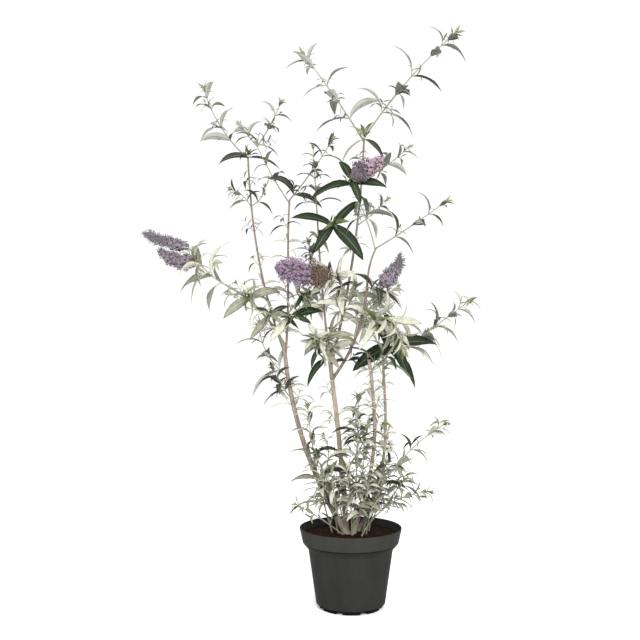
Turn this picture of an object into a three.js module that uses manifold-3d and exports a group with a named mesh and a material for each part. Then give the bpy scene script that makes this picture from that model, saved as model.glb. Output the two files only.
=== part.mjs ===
// Butterfly bush (Buddleja) in its nursery pot.
// Units are millimetres, +Z is up, and the origin is the centre of the pot's flat underside.
// +X is the viewer's right and +Y points away from the front.
//
// The bush is a few tapering stems and boughs, each a solid of its own, and masses of foliage.
// Every limb and shoot grows from one line of values: where it starts, how long it is, and the
// heading and lean of its first and last stretch. Leaves stand on the shoots in opposite pairs,
// each pair a quarter turn from the one below, as on the living plant.

import * as THREE from "three";
import { mergeVertices } from "three/addons/utils/BufferGeometryUtils.js";
import Module from "manifold-3d";

const wasm = await Module();
wasm.setup();

// ---------------------------------------------------------------- driving dimensions

const GAP = 0.3; // clearance between neighbouring solids
const SLIVER = 0.02; // edges shorter than this are closed up after a union

const POT = {
  height: 163,
  rimRadius: 105,
  bandRadius: 98.7, // foot of the thick band under the rim
  bandFoot: 133,
  neckRadius: 87,
  neckHeight: 119,
  wallFootRadius: 71,
  footRadius: 65,
  footHeight: 8,
  wall: 2,
  base: 9.5, // the floor is thick enough for the grooves under it
  sides: 40,
};
const DRAIN = { count: 8, width: 15, depth: 36, height: 7 };

const COMPOST = { height: 151, edgeDrop: 3, flatRadius: 52 };
const GROUND = COMPOST.height + GAP; // where the stems are cut flat

const FLARE = { share: 0.28, reach: 10 }; // how much a stem swells where it leaves the ground

const LIMB_SIDES = 7;
const TWIG_SIDES = 3;
const TWIG_STEP = 32;
const PATH_STEPS = 24;

const LEAF = {
  widthShare: 0.2, // width over length
  widest: 4, // step of the spine, out of LEAF_STEPS, where the blade is widest
  thickShare: 0.018,
  leastThick: 1,
  opening: 52, // degrees between the shoot and the leaf at its root
  curl: 55, // degrees that the blade turns away from the shoot by its tip
  sag: 0.5, // pull of its own weight on the tip
  twist: 64, // degrees, the widest spread of the blade's roll about its own spine
};
const LEAF_STEPS = 8;

// Stems from the compost: foot is [x, y], heading is degrees in plan from +X towards +Y,
// lean is degrees from upright, each given at the start and at the end, and width is the
// diameter at the start and at the end.
// Boughs: on names the limb that carries it and at is the share of that limb's length.
const LIMBS = {
  trunk: { foot: [-8, 6], length: 361, heading: [-158, -164], lean: [4, 8], width: [11, 8.5] },
  stem_left: { foot: [-8, -16], length: 413, heading: [172, 150], lean: [33, 6], width: [12.5, 8] },
  stem_right_front: {
    foot: [6, -10], length: 382, heading: [11, -162], lean: [18, 8], width: [8, 6.5],
  },
  stem_right_back: {
    foot: [16, 14], length: 373, heading: [-5, 141], lean: [29, 1], width: [7.5, 5],
  },
  bough_upright: {
    on: "trunk", at: 1, length: 299, heading: [-149, -139], lean: [8, 4], width: [5, 2.8],
  },
  bough_centre: {
    on: "trunk", at: 0.95, length: 481, heading: [11, 34], lean: [15, 3], width: [6, 3.8],
  },
  bough_inner: {
    on: "trunk", at: 0.88, length: 203, heading: [-22, -62], lean: [40, 13], width: [6.4, 4.6],
  },
  bough_right: {
    on: "bough_inner", at: 1, length: 87, heading: [-74, -37], lean: [4, 33], width: [4.2, 3.2],
  },
  bough_left: {
    on: "stem_left", at: 1, length: 176, heading: [-158, -165], lean: [27, 63], width: [6, 4.4],
  },
  bough_left_tall: {
    on: "stem_left", at: 0.96, length: 430, heading: [160, 118], lean: [22, 6], width: [4.6, 3.6],
  },
  bough_centre_left: {
    on: "stem_left", at: 0.93, length: 330, heading: [-30, -150], lean: [6, -4], width: [5, 3.6],
  },
};

// Masses of foliage: the first shoot of each meets a limb, and the others fork from it.
// leaf is the longest leaf and turn is the roll of the first pair. The pairs stand at the
// distances in nodes, or every gap after a bare stretch, closing up towards the tip. opening
// and curl are the leaves' own where they aren't the usual ones, broad widens them, and bloom
// is the width of a flower spike that takes the whole length of its shoot.
const MASSES = {
  foliage_top_left: [
    {
      on: "bough_centre", at: 0.985, length: 229, heading: [160, 164], lean: [31, 38], leaf: 95,
      nodes: [59, 101, 147, 195, 213], turn: 0,
    },
  ],
  foliage_top_fork: [
    {
      on: "bough_centre", at: 0.955, length: 26, heading: [-80, -100], lean: [40, 15], leaf: 115,
      nodes: [20], turn: -8, broad: 1.15, opening: 104, curl: 46,
    },
  ],
  foliage_top_right: [
    {
      on: "bough_centre", at: 1, length: 274, heading: [-12, -10], lean: [34, 50], leaf: 100,
      nodes: [63, 108, 158, 213, 244, 259], turn: 0,
    },
  ],
  foliage_left_tall: [
    {
      on: "bough_left_tall", at: 1, length: 184, heading: [160, 172], lean: [50, 17], leaf: 87,
      nodes: [58, 93, 141, 167], turn: 45,
    },
  ],
  foliage_centre_left: [
    {
      on: "bough_centre_left", at: 0.98, length: 136, heading: [176, 176], lean: [35, 24],
      leaf: 64, nodes: [53, 92], turn: 45,
    },
    {
      on: 0, at: 1, length: 99, heading: [-12, -10], lean: [35, 24], leaf: 59,
      nodes: [4, 41, 72, 93], turn: 0,
    },
    {
      on: 0, at: 1, length: 59, heading: [168, 165], lean: [43, 34], leaf: 51, nodes: [28, 47],
      turn: 0,
    },
  ],
  foliage_centre_front: [
    {
      on: "bough_centre_left", at: 1, length: 156, heading: [-40, -40], lean: [52, 41], leaf: 72,
      nodes: [15, 79, 118, 141], turn: 20,
    },
  ],
  foliage_left_arm: [
    {
      on: "bough_left", at: 1, length: 109, heading: [-165, -150], lean: [64, 28], leaf: 95,
      nodes: [9, 33, 62, 85], turn: 60,
    },
    { on: 0, at: 1, length: 97, heading: [-160, -161], lean: [81, 68], bloom: 20 },
    { on: 0, at: 0.71, length: 87, heading: [-158, -162], lean: [110, 37], bloom: 28 },
  ],
  foliage_left_bend: [
    {
      on: "bough_left", at: 0.66, length: 32, heading: [-90, -90], lean: [60, 84], leaf: 72,
      nodes: [12, 30], turn: 30, broad: 1.15, opening: 60, curl: 50,
    },
  ],
  foliage_left_bend_low: [
    {
      on: "bough_left", at: 0.34, length: 44, heading: [-80, -90], lean: [60, 84], leaf: 64,
      nodes: [16, 40], turn: 60, broad: 1.1, opening: 62, curl: 50,
    },
  ],
  foliage_right_arm: [
    {
      on: "bough_right", at: 1, length: 160, heading: [-16, -19], lean: [61, 55], leaf: 67,
      nodes: [43, 85, 121, 146], turn: 0,
    },
  ],
  foliage_bloom_top: [
    {
      on: "bough_right", at: 0.95, length: 135, heading: [150, 175], lean: [13, 29], leaf: 79,
      nodes: [71, 104], turn: 20, opening: 80, curl: 40,
    },
    {
      on: 0, at: 1, length: 26, heading: [-90, -100], lean: [40, 72], leaf: 92, nodes: [8, 20],
      turn: 12, broad: 1.25, opening: 78, curl: 30,
    },
    { on: 1, at: 1, length: 73, heading: [-8, -8], lean: [62, 56], bloom: 50 },
  ],
  foliage_upper_back: [
    {
      on: "bough_centre", at: 0.818, length: 126, heading: [24, 10], lean: [64, 46], leaf: 61,
      nodes: [41, 70, 95, 114], turn: 60,
    },
  ],
  foliage_upright: [
    {
      on: "bough_upright", at: 1, length: 124, heading: [-117, -116], lean: [8, 8], leaf: 60,
      bare: 14, gap: 28, turn: 30,
    },
  ],
  foliage_upright_low: [
    {
      on: "bough_upright", at: 0.6, length: 62, heading: [-150, -120], lean: [50, 15], leaf: 66,
      bare: 34, gap: 16, turn: 70,
    },
  ],
  foliage_centre: [
    {
      on: "bough_upright", at: 0.76, length: 74, heading: [-10, -84], lean: [12, 88], leaf: 138,
      nodes: [60, 72], turn: 22, broad: 1.2, opening: 80, curl: 34,
    },
  ],
  foliage_centre_mid: [
    {
      on: "bough_centre", at: 0.62, length: 84, heading: [30, 10], lean: [60, 40], leaf: 70,
      bare: 26, gap: 24, turn: 40, broad: 0.9,
    },
  ],
  foliage_centre_low: [
    {
      on: "bough_centre", at: 0.22, length: 78, heading: [-70, -60], lean: [60, 30], leaf: 88,
      bare: 24, gap: 20, turn: 15, broad: 0.85,
    },
  ],
  foliage_mid_left: [
    {
      on: "bough_centre_left", at: 0.24, length: 44, heading: [-60, -90], lean: [70, 84], leaf: 84,
      nodes: [22, 42], turn: 82, broad: 1.15, opening: 70, curl: 30,
    },
  ],
  foliage_mid_low: [
    {
      on: "bough_centre_left", at: 0.38, length: 44, heading: [-20, -50], lean: [60, 104],
      leaf: 74, nodes: [24, 36], turn: 40, opening: 60,
    },
  ],
  foliage_bloom_centre: [
    {
      on: "bough_centre", at: 0.36, length: 69, heading: [-123, -126], lean: [95, 57], leaf: 77,
      nodes: [24, 42, 58], turn: 40, broad: 1.1,
    },
    { on: 0, at: 1, length: 113, heading: [-168, -170], lean: [91, 72], bloom: 56 },
  ],
  foliage_bloom_right: [
    {
      on: "bough_inner", at: 0.95, length: 46, heading: [-55, -52], lean: [60, 70], leaf: 77,
      nodes: [20, 34], turn: 20,
    },
    { on: 0, at: 1, length: 81, heading: [-37, -34], lean: [72, 3], bloom: 42 },
  ],
  foliage_fork: [
    {
      on: "trunk", at: 0.975, length: 61, heading: [-114, -122], lean: [54, 57], leaf: 79,
      nodes: [14, 34, 52], turn: 24, opening: 58, curl: 60,
    },
  ],
  foliage_left_fork: [
    {
      on: "stem_left", at: 0.84, length: 126, heading: [170, 160], lean: [57, 5], leaf: 77,
      nodes: [20, 52, 88, 113], turn: 10,
    },
  ],
  foliage_inner_left: [
    {
      on: "stem_left", at: 0.72, length: 84, heading: [-140, -136], lean: [46, 30], leaf: 56,
      bare: 26, gap: 20, turn: 0,
    },
  ],
  foliage_inner_front: [
    {
      on: "bough_inner", at: 0.6, length: 147, heading: [-32, -64], lean: [40, 170], leaf: 92,
      bare: 20, gap: 20, turn: 30, broad: 0.8, curl: 70,
    },
  ],
  foliage_inner_back: [
    {
      on: "bough_inner", at: 0.5, length: 122, heading: [61, 46], lean: [39, 60], leaf: 86,
      bare: 26, gap: 22, turn: 0, broad: 0.85,
    },
  ],
  foliage_inner_right: [
    {
      on: "bough_inner", at: 0.82, length: 74, heading: [30, 5], lean: [60, 60], leaf: 80,
      bare: 22, gap: 20, turn: 10, broad: 0.9,
    },
  ],
  foliage_below_cut: [
    {
      on: "stem_right_front", at: 0.9, length: 70, heading: [-30, -40], lean: [40, 25], leaf: 80,
      bare: 16, gap: 18, turn: 20,
    },
  ],
  foliage_right: [
    {
      on: "stem_right_back", at: 1, length: 70, heading: [-62, -80], lean: [46, 80], leaf: 123,
      nodes: [26, 42, 60], turn: -30, broad: 1.25, opening: 62, curl: 34,
    },
  ],
  foliage_right_low: [
    {
      on: "stem_right_back", at: 0.94, length: 229, heading: [10, -10], lean: [50, 54], leaf: 79,
      nodes: [71, 102, 142, 176, 204, 220], turn: 0,
    },
  ],
  foliage_low_right: [
    {
      foot: [24, -6], length: 304, heading: [-44, -29], lean: [19, 58], leaf: 60,
      nodes: [120, 165, 216, 264, 289], turn: 0,
    },
    {
      on: 0, at: 0.332, length: 126, heading: [-30, -60], lean: [15, -4], leaf: 64,
      nodes: [41, 79, 110], turn: 0,
    },
  ],
  foliage_low_front: [
    {
      foot: [22, -29], length: 170, heading: [-9, -12], lean: [26, 84], leaf: 49,
      nodes: [47, 75, 97, 119, 139, 154, 164], turn: 0, broad: 0.95,
    },
    {
      on: 0, at: 0.395, length: 82, heading: [-30, -20], lean: [34, 41], leaf: 54,
      nodes: [30, 57, 74], turn: 0, broad: 1.1,
    },
  ],
  foliage_low_left: [
    {
      foot: [-16, -24], length: 121, heading: [-161, -155], lean: [50, 62], leaf: 50, bare: 34,
      gap: 17, turn: 0, broad: 0.9,
    },
  ],
  foliage_base_left: [
    {
      foot: [-38, -2], length: 267, heading: [-154, -117], lean: [18, 12], leaf: 77, bare: 60,
      gap: 31, turn: 0,
    },
    {
      on: 0, at: 0.425, length: 98, heading: [-30, -20], lean: [43, -26], leaf: 56,
      nodes: [52, 81], turn: 0,
    },
  ],
  foliage_base_middle: [
    {
      foot: [4, -24], length: 280, heading: [-52, -93], lean: [5, 10], leaf: 80, bare: 56, gap: 30,
      turn: 0,
    },
  ],
  foliage_trunk_low: [
    {
      on: "trunk", at: 0.34, length: 120, heading: [-10, 20], lean: [45, 12], leaf: 58, bare: 24,
      gap: 20, turn: 0, broad: 0.9,
    },
  ],
  foliage_stem_low: [
    {
      on: "stem_right_front", at: 0.42, length: 112, heading: [200, 240], lean: [40, 10], leaf: 56,
      bare: 20, gap: 20, turn: 30, broad: 0.9,
    },
  ],
  foliage_tall_fork: [
    {
      on: "bough_left_tall", at: 0.97, length: 24, heading: [-80, -90], lean: [40, 60], leaf: 108,
      nodes: [18], turn: -6, opening: 72, curl: 46,
    },
  ],
  foliage_tall_low: [
    {
      on: "bough_left_tall", at: 0.74, length: 60, heading: [-160, -170], lean: [20, 73], leaf: 51,
      nodes: [19, 38, 51], turn: 0,
    },
    {
      on: 0, at: 0.12, length: 55, heading: [-30, -20], lean: [80, 6], leaf: 46, nodes: [19, 38],
      turn: 20,
    },
  ],
  foliage_mid_front: [
    {
      on: "bough_centre", at: 0.1, length: 84, heading: [-112, -128], lean: [66, 96], leaf: 79,
      nodes: [24, 46, 68, 80], turn: 30, broad: 0.95, opening: 58, curl: 62,
    },
  ],
  foliage_mid_back: [
    {
      on: "bough_upright", at: 0.3, length: 88, heading: [100, 124], lean: [48, 76], leaf: 72,
      nodes: [26, 48, 70, 84], turn: 10, broad: 0.95,
    },
  ],
};

// Short basal shoots stand in a ring round the foot of the stems.
const BASAL = {
  names: ["back_left", "back", "back_right", "right", "front_right", "front_left"],
  centre: [4, 4],
  radius: 35,
  firstHeading: 122,
  headingStep: -54,
  length: [120, 185],
  lean: [12, 26],
  leaf: 60,
  bare: 34,
  gap: 26,
  side: { at: 0.14, share: 0.72, turn: 60, lean: [38, 16] }, // the second shoot of each
};

const SHOOT_WIDTH = { perLength: 0.006, base: 2.2, tip: 1.5 };

const COLOURS = {
  pot: 0x3f4041,
  compost: 0x1f140c,
  bark: 0xa08470,
  foliage: 0x66764f,
};

// ---------------------------------------------------------------- solids

// A repeatable number from 0 to 1 for a seed and a step.
function luck(seed, step) {
  const value = Math.sin(seed * 12.9898 + step * 78.233) * 43758.5453;
  return value - Math.floor(value);
}

function solidOf(geometry) {
  const bare = geometry.clone();
  bare.deleteAttribute("normal");
  bare.deleteAttribute("uv");
  const merged = mergeVertices(bare, 1e-4);
  return new wasm.Manifold(
    new wasm.Mesh({
      numProp: 3,
      vertProperties: merged.getAttribute("position").array,
      triVerts: new Uint32Array(merged.index.array),
    }),
  );
}

function geometryOf(solid) {
  const mesh = solid.getMesh();
  const geometry = new THREE.BufferGeometry();
  geometry.setAttribute("position", new THREE.BufferAttribute(mesh.vertProperties, 3));
  geometry.setIndex(new THREE.BufferAttribute(mesh.triVerts, 1));
  geometry.computeVertexNormals();
  return geometry;
}

// The largest closed body of a union: loose scraps and sealed hollows are left behind.
function oneBody(solid) {
  const bodies = solid.decompose();
  return bodies.reduce((best, body) => (body.volume() > best.volume() ? body : best));
}

function solidFromFaces(points, faces) {
  const geometry = new THREE.BufferGeometry();
  geometry.setAttribute("position", new THREE.Float32BufferAttribute(points.flatMap((p) => p.toArray()), 3));
  geometry.setIndex(faces.flat());
  return solidOf(geometry);
}

// A closed tube through stations of { point, way, radius }, with flat ends.
function tubeSolid(stations, sides, radiusAt = (station) => station.radius) {
  const points = [];
  const faces = [];
  let side = new THREE.Vector3(1, 0, 0);
  stations.forEach((station, i) => {
    side = side.clone().addScaledVector(station.way, -side.dot(station.way)).normalize();
    const across = new THREE.Vector3().crossVectors(station.way, side);
    for (let j = 0; j < sides; j++) {
      const angle = (2 * Math.PI * j) / sides;
      const radius = radiusAt(station, i, j);
      points.push(
        station.point
          .clone()
          .addScaledVector(side, radius * Math.cos(angle))
          .addScaledVector(across, radius * Math.sin(angle)),
      );
    }
  });
  for (let i = 0; i + 1 < stations.length; i++) {
    for (let j = 0; j < sides; j++) {
      const a = i * sides + j;
      const b = i * sides + ((j + 1) % sides);
      faces.push([a, b, b + sides], [a, b + sides, a + sides]);
    }
  }
  const last = (stations.length - 1) * sides;
  for (let j = 1; j + 1 < sides; j++) {
    faces.push([0, j + 1, j], [last, last + j, last + j + 1]);
  }
  return solidFromFaces(points, faces);
}

// ---------------------------------------------------------------- pot and compost

function turned(profile) {
  const points = profile.map(([radius, height]) => new THREE.Vector2(radius, height));
  return solidOf(new THREE.LatheGeometry(points, POT.sides).rotateX(Math.PI / 2));
}

// Inner wall of the pot, from its floor to its rim.
function innerWall(inset) {
  const w = POT.wall + inset;
  return [
    [POT.footRadius - w, POT.base + inset],
    [POT.footRadius - w, POT.footHeight + w],
    [POT.wallFootRadius - w, POT.footHeight + w + 0.6],
    [POT.neckRadius - w, POT.neckHeight + 1],
    [POT.bandRadius - w, POT.bandFoot + 1],
    [POT.rimRadius - w, POT.height],
  ];
}

function potSolid() {
  const outer = [
    [0, 0],
    [POT.footRadius, 0],
    [POT.footRadius, POT.footHeight],
    [POT.wallFootRadius, POT.footHeight + 0.6],
    [POT.neckRadius, POT.neckHeight],
    [POT.bandRadius, POT.bandFoot],
    [POT.rimRadius, POT.height - 1.5],
    [POT.rimRadius - 0.6, POT.height],
  ];
  const profile = [...outer, ...innerWall(0).reverse(), [0, POT.base]];
  let pot = turned(profile);
  for (let i = 0; i < DRAIN.count; i++) {
    const slot = new THREE.BoxGeometry(DRAIN.depth, DRAIN.width, 2 * DRAIN.height);
    slot.translate(POT.footRadius, 0, 0);
    slot.rotateZ((2 * Math.PI * (i + 0.5)) / DRAIN.count);
    pot = pot.subtract(solidOf(slot));
  }
  return pot;
}

function compostSolid() {
  const wall = innerWall(GAP);
  const [neck, band] = wall.slice(-2);
  const rise = COMPOST.height - COMPOST.edgeDrop;
  const share = (rise - neck[1]) / (band[1] - neck[1]);
  const edge = neck[0] + (band[0] - neck[0]) * share;
  return turned([
    [0, POT.base + GAP],
    ...wall.slice(0, -1),
    [edge, rise],
    [COMPOST.flatRadius, COMPOST.height],
    [0, COMPOST.height],
  ]);
}

// ---------------------------------------------------------------- growth

function direction(heading, lean) {
  const h = THREE.MathUtils.degToRad(heading);
  const l = THREE.MathUtils.degToRad(lean);
  return new THREE.Vector3(Math.sin(l) * Math.cos(h), Math.sin(l) * Math.sin(h), Math.cos(l));
}

const mix = ([start, end], share) => start + (end - start) * share;

// The centre line of a limb or shoot, turning evenly from its first way to its last.
function grow(plan, start) {
  const points = [start.clone()];
  const ways = [];
  for (let i = 0; i < PATH_STEPS; i++) {
    const share = (i + 0.5) / PATH_STEPS;
    const way = direction(mix(plan.heading, share), mix(plan.lean, share));
    ways.push(way);
    points.push(points[i].clone().addScaledVector(way, plan.length / PATH_STEPS));
  }
  return { points, ways, length: plan.length, width: plan.width };
}

// Place, way and radius at a distance along a path.
function along(path, distance) {
  const step = path.length / PATH_STEPS;
  const i = THREE.MathUtils.clamp(Math.floor(distance / step), 0, PATH_STEPS - 1);
  const point = path.points[i].clone().addScaledVector(path.ways[i], distance - i * step);
  const next = path.ways[Math.min(i + 1, PATH_STEPS - 1)];
  const way = path.ways[i].clone().lerp(next, 0.5).normalize();
  return { point, way, radius: mix(path.width, distance / path.length) / 2 };
}

// How far along a new shoot its stem has to start to stand clear of the limb that carries it.
function clearStart(carrier, at, path) {
  const here = along(carrier, at * carrier.length);
  const cosine = Math.abs(here.way.dot(path.ways[0]));
  const sine = Math.sqrt(1 - cosine * cosine);
  const radius = path.width[0] / 2;
  if (at === 1) return (GAP + radius * sine) / cosine;
  return (here.radius + GAP + radius * cosine) / sine;
}

function stationsOf(path, first, step) {
  const count = Math.max(3, Math.round((path.length - first) / step));
  const stride = (path.length - first) / count;
  return Array.from({ length: count + 1 }, (_, i) => along(path, first + stride * i));
}

// A stem that stands on the compost starts in a level cut, and swells towards it.
function rooted(path, stations) {
  stations.splice(1, 0, along(path, FLARE.reach / 2), along(path, 1.6 * FLARE.reach));
  stations[0].way = new THREE.Vector3(0, 0, 1);
  for (const station of stations) {
    const rise = station.point.z - GROUND;
    station.radius *= 1 + FLARE.share * Math.exp(-rise / FLARE.reach);
  }
  return stations;
}

const footOf = (plan) => new THREE.Vector3(plan.foot[0], plan.foot[1], GROUND);

function shootWidth(plan) {
  const base = SHOOT_WIDTH.base + SHOOT_WIDTH.perLength * plan.length;
  return [base, SHOOT_WIDTH.tip];
}

// A bent, pointed blade of eight faces. out is the way it leaves the shoot, square to axis,
// and twist is the blade's roll about its own spine in degrees.
function leafSolid(root, axis, out, { length, opening, twist, curl = LEAF.curl, broad = 1 }) {
  const points = [root.clone()];
  for (let i = 0; i < LEAF_STEPS; i++) {
    const share = (i + 0.5) / LEAF_STEPS;
    const angle = THREE.MathUtils.degToRad(opening + curl * share);
    const way = axis.clone().multiplyScalar(Math.cos(angle)).addScaledVector(out, Math.sin(angle));
    way.z -= LEAF.sag * share;
    points.push(points[i].clone().addScaledVector(way.normalize(), length / LEAF_STEPS));
  }
  const tip = points[LEAF_STEPS];
  const middle = points[LEAF.widest];
  const spine = tip.clone().sub(root).normalize();
  const side = new THREE.Vector3().crossVectors(axis, out);
  side.applyAxisAngle(spine, THREE.MathUtils.degToRad(twist)).normalize();
  const face = new THREE.Vector3().crossVectors(spine, side).normalize();
  const half = (length * LEAF.widthShare * broad) / 2;
  const thick = Math.max(LEAF.leastThick, length * LEAF.thickShare) / 2;
  const corners = [
    root,
    tip,
    middle.clone().addScaledVector(side, half),
    middle.clone().addScaledVector(side, -half),
    middle.clone().addScaledVector(face, thick),
    middle.clone().addScaledVector(face, -thick),
  ];
  const faces = [
    [0, 2, 4],
    [0, 4, 3],
    [0, 3, 5],
    [0, 5, 2],
    [1, 4, 2],
    [1, 3, 4],
    [1, 5, 3],
    [1, 2, 5],
  ];
  const made = solidFromFaces(corners, faces);
  return made.volume() > 0 ? made : solidFromFaces(corners, faces.map(([a, b, c]) => [a, c, b]));
}

// Distances along a shoot at which its pairs stand.
function nodesOf(plan, path, first) {
  if (plan.nodes) return plan.nodes;
  const nodes = [];
  let distance = Math.max(plan.bare, first + 4);
  while (distance < path.length - 3) {
    nodes.push(distance);
    distance += plan.gap * (1 - (0.35 * distance) / path.length);
  }
  return nodes;
}

// Leaves in opposite pairs up a shoot, smaller and more upright towards its tip.
function leavesOf(plan, path, first, seed) {
  const leaves = [];
  nodesOf(plan, path, first).forEach((distance, k) => {
    const share = distance / path.length;
    const { point, way } = along(path, distance);
    const flat = new THREE.Vector3().crossVectors(way, new THREE.Vector3(0, 1, 0)).normalize();
    for (const half of [0, 1]) {
      const n = 2 * k + half;
      const roll = plan.turn + 90 * k + 180 * half + 24 * (luck(seed, n) - 0.5);
      const out = flat.clone().applyAxisAngle(way, THREE.MathUtils.degToRad(roll));
      const shape = {
        length: plan.leaf * (1 - 0.5 * share * share) * (0.82 + 0.3 * luck(seed, n + 50)),
        opening: (plan.opening ?? LEAF.opening * (1 - 0.4 * share)) + 16 * (luck(seed, n + 90) - 0.5),
        twist: LEAF.twist * (luck(seed, n + 130) - 0.5),
        curl: plan.curl,
        broad: plan.broad,
      };
      leaves.push(leafSolid(point, way, out, shape));
    }
  });
  return leaves;
}

// The pair of young leaves that closes a shoot's tip.
function tuftOf(plan, path, seed) {
  const { point, way } = along(path, path.length - 2);
  const flat = new THREE.Vector3().crossVectors(way, new THREE.Vector3(0, 1, 0)).normalize();
  return [0, 1].map((half) => {
    const roll = plan.turn + 45 + 180 * half;
    const out = flat.clone().applyAxisAngle(way, THREE.MathUtils.degToRad(roll));
    const length = plan.leaf * (0.34 + 0.1 * luck(seed, half));
    return leafSolid(point, way, out, { length, opening: 12, twist: 0 });
  });
}

// A flower spike: full near its foot and tapering to a point, its surface in knobs of florets.
function spikeSolid(plan, path) {
  const stations = stationsOf(path, -3, 11);
  const full = plan.bloom / 2;
  const last = stations.length - 1;
  return tubeSolid(stations, 8, (_, i, j) => {
    const share = i / last;
    const outline = share < 0.15 ? 0.5 + (0.5 * share) / 0.15 : 1 - 0.85 * ((share - 0.15) / 0.85) ** 2.6;
    return full * outline * ((i + j) % 2 ? 1 : 0.8);
  });
}

// ---------------------------------------------------------------- the plant

const paths = {};
const solids = {};

function startOf(plan, siblings) {
  if (plan.foot) return footOf(plan);
  const carrier = typeof plan.on === "number" ? siblings[plan.on] : paths[plan.on];
  return along(carrier, plan.at * carrier.length).point;
}

function buildLimbs() {
  for (const [name, plan] of Object.entries(LIMBS)) {
    const path = grow(plan, startOf(plan));
    paths[name] = path;
    const first = plan.foot ? 0 : clearStart(paths[plan.on], plan.at, path);
    const stations = stationsOf(path, first, 34);
    solids[name] = tubeSolid(plan.foot ? rooted(path, stations) : stations, LIMB_SIDES);
  }
}

function basalMasses() {
  const masses = {};
  BASAL.names.forEach((name, i) => {
    const heading = BASAL.firstHeading + BASAL.headingStep * i;
    const way = direction(heading, 90).multiplyScalar(BASAL.radius);
    const { leaf, bare, gap, side } = BASAL;
    const main = {
      foot: [BASAL.centre[0] + way.x, BASAL.centre[1] + way.y],
      length: mix(BASAL.length, luck(7, i)),
      heading: [heading, heading + 60 * (luck(8, i) - 0.5)],
      lean: [BASAL.lean[0], mix(BASAL.lean, luck(9, i))],
      turn: 90 * luck(10, i),
      leaf,
      bare,
      gap,
    };
    const second = {
      ...main,
      foot: undefined,
      on: 0,
      at: side.at,
      length: main.length * side.share,
      heading: [heading + side.turn, heading + 0.5 * side.turn],
      lean: side.lean,
    };
    masses["foliage_base_" + name] = [main, second];
  });
  return masses;
}

// Whether a new piece would come closer than GAP to a limb, the pot or a piece of another mass.
function touches(piece, name, placed) {
  const box = piece.boundingBox();
  return placed.some((other) => {
    if (other.name === name) return false;
    for (let k = 0; k < 3; k++) {
      if (box.min[k] > other.box.max[k] + GAP || box.max[k] < other.box.min[k] - GAP) return false;
    }
    return piece.minGap(other.piece, 2 * GAP) < GAP;
  });
}

function buildMasses() {
  const masses = Object.entries({ ...MASSES, ...basalMasses() });
  const placed = Object.entries(solids).map(([name, piece]) => ({ name, piece, box: piece.boundingBox() }));
  const place = (name, piece) => placed.push({ name, piece, box: piece.boundingBox() });
  const wanted = [];
  masses.forEach(([name, plans], m) => {
    const siblings = [];
    const stems = plans.map((plan, i) => {
      const path = grow({ ...plan, width: shootWidth(plan) }, startOf(plan, siblings));
      siblings.push(path);
      const first = i === 0 && plan.on ? clearStart(paths[plan.on], plan.at, path) : 0;
      if (plan.bloom) return spikeSolid(plan, path);
      const seed = 10 * m + i + 1;
      wanted.push([name, leavesOf(plan, path, first, seed)]);
      const blooms = plans.some((other) => other.bloom && other.on === i);
      if (!blooms) wanted.push([name, tuftOf(plan, path, seed)]);
      const stations = stationsOf(path, first, TWIG_STEP);
      return tubeSolid(plan.foot ? rooted(path, stations) : stations, TWIG_SIDES);
    });
    stems.forEach((stem) => place(name, stem));
  });
  for (const [name, leaves] of wanted) {
    for (const leaf of leaves) {
      if (!touches(leaf, name, placed)) place(name, leaf);
    }
  }
  for (const [name] of masses) {
    const pieces = placed.filter((item) => item.name === name).map((item) => item.piece);
    solids[name] = oneBody(wasm.Manifold.union(pieces).simplify(SLIVER));
  }
}

solids.pot = potSolid();
solids.compost = compostSolid();
buildLimbs();
buildMasses();

// ---------------------------------------------------------------- scene graph

const FINISH = {
  pot: { color: COLOURS.pot, roughness: 0.5, metalness: 0 },
  compost: { color: COLOURS.compost, roughness: 0.95, metalness: 0 },
  bark: { color: COLOURS.bark, roughness: 0.85, metalness: 0 },
  foliage: { color: COLOURS.foliage, roughness: 0.7, metalness: 0 },
};

function finishOf(name) {
  if (name in FINISH) return name;
  return name in LIMBS ? "bark" : "foliage";
}

const bush = new THREE.Group();
bush.name = "butterfly_bush";
for (const [name, solid] of Object.entries(solids)) {
  const mesh = new THREE.Mesh(geometryOf(solid), new THREE.MeshStandardMaterial(FINISH[finishOf(name)]));
  mesh.name = name;
  bush.add(mesh);
}

export default bush;
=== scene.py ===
"""A butterfly bush in its nursery pot, dressed over its construction frame.

The plant grows by one rule: a limb or shoot is a centre line that turns evenly from its first
heading and lean to its last, leaves stand on it in opposite pairs a quarter turn apart, and small
side shoots rise from the leaf axils. Sizes of the plant are in millimetres and are turned to
metres as each mesh is made. +Z is up, +X is to the viewer's right and +Y points away.
"""

import math

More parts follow.
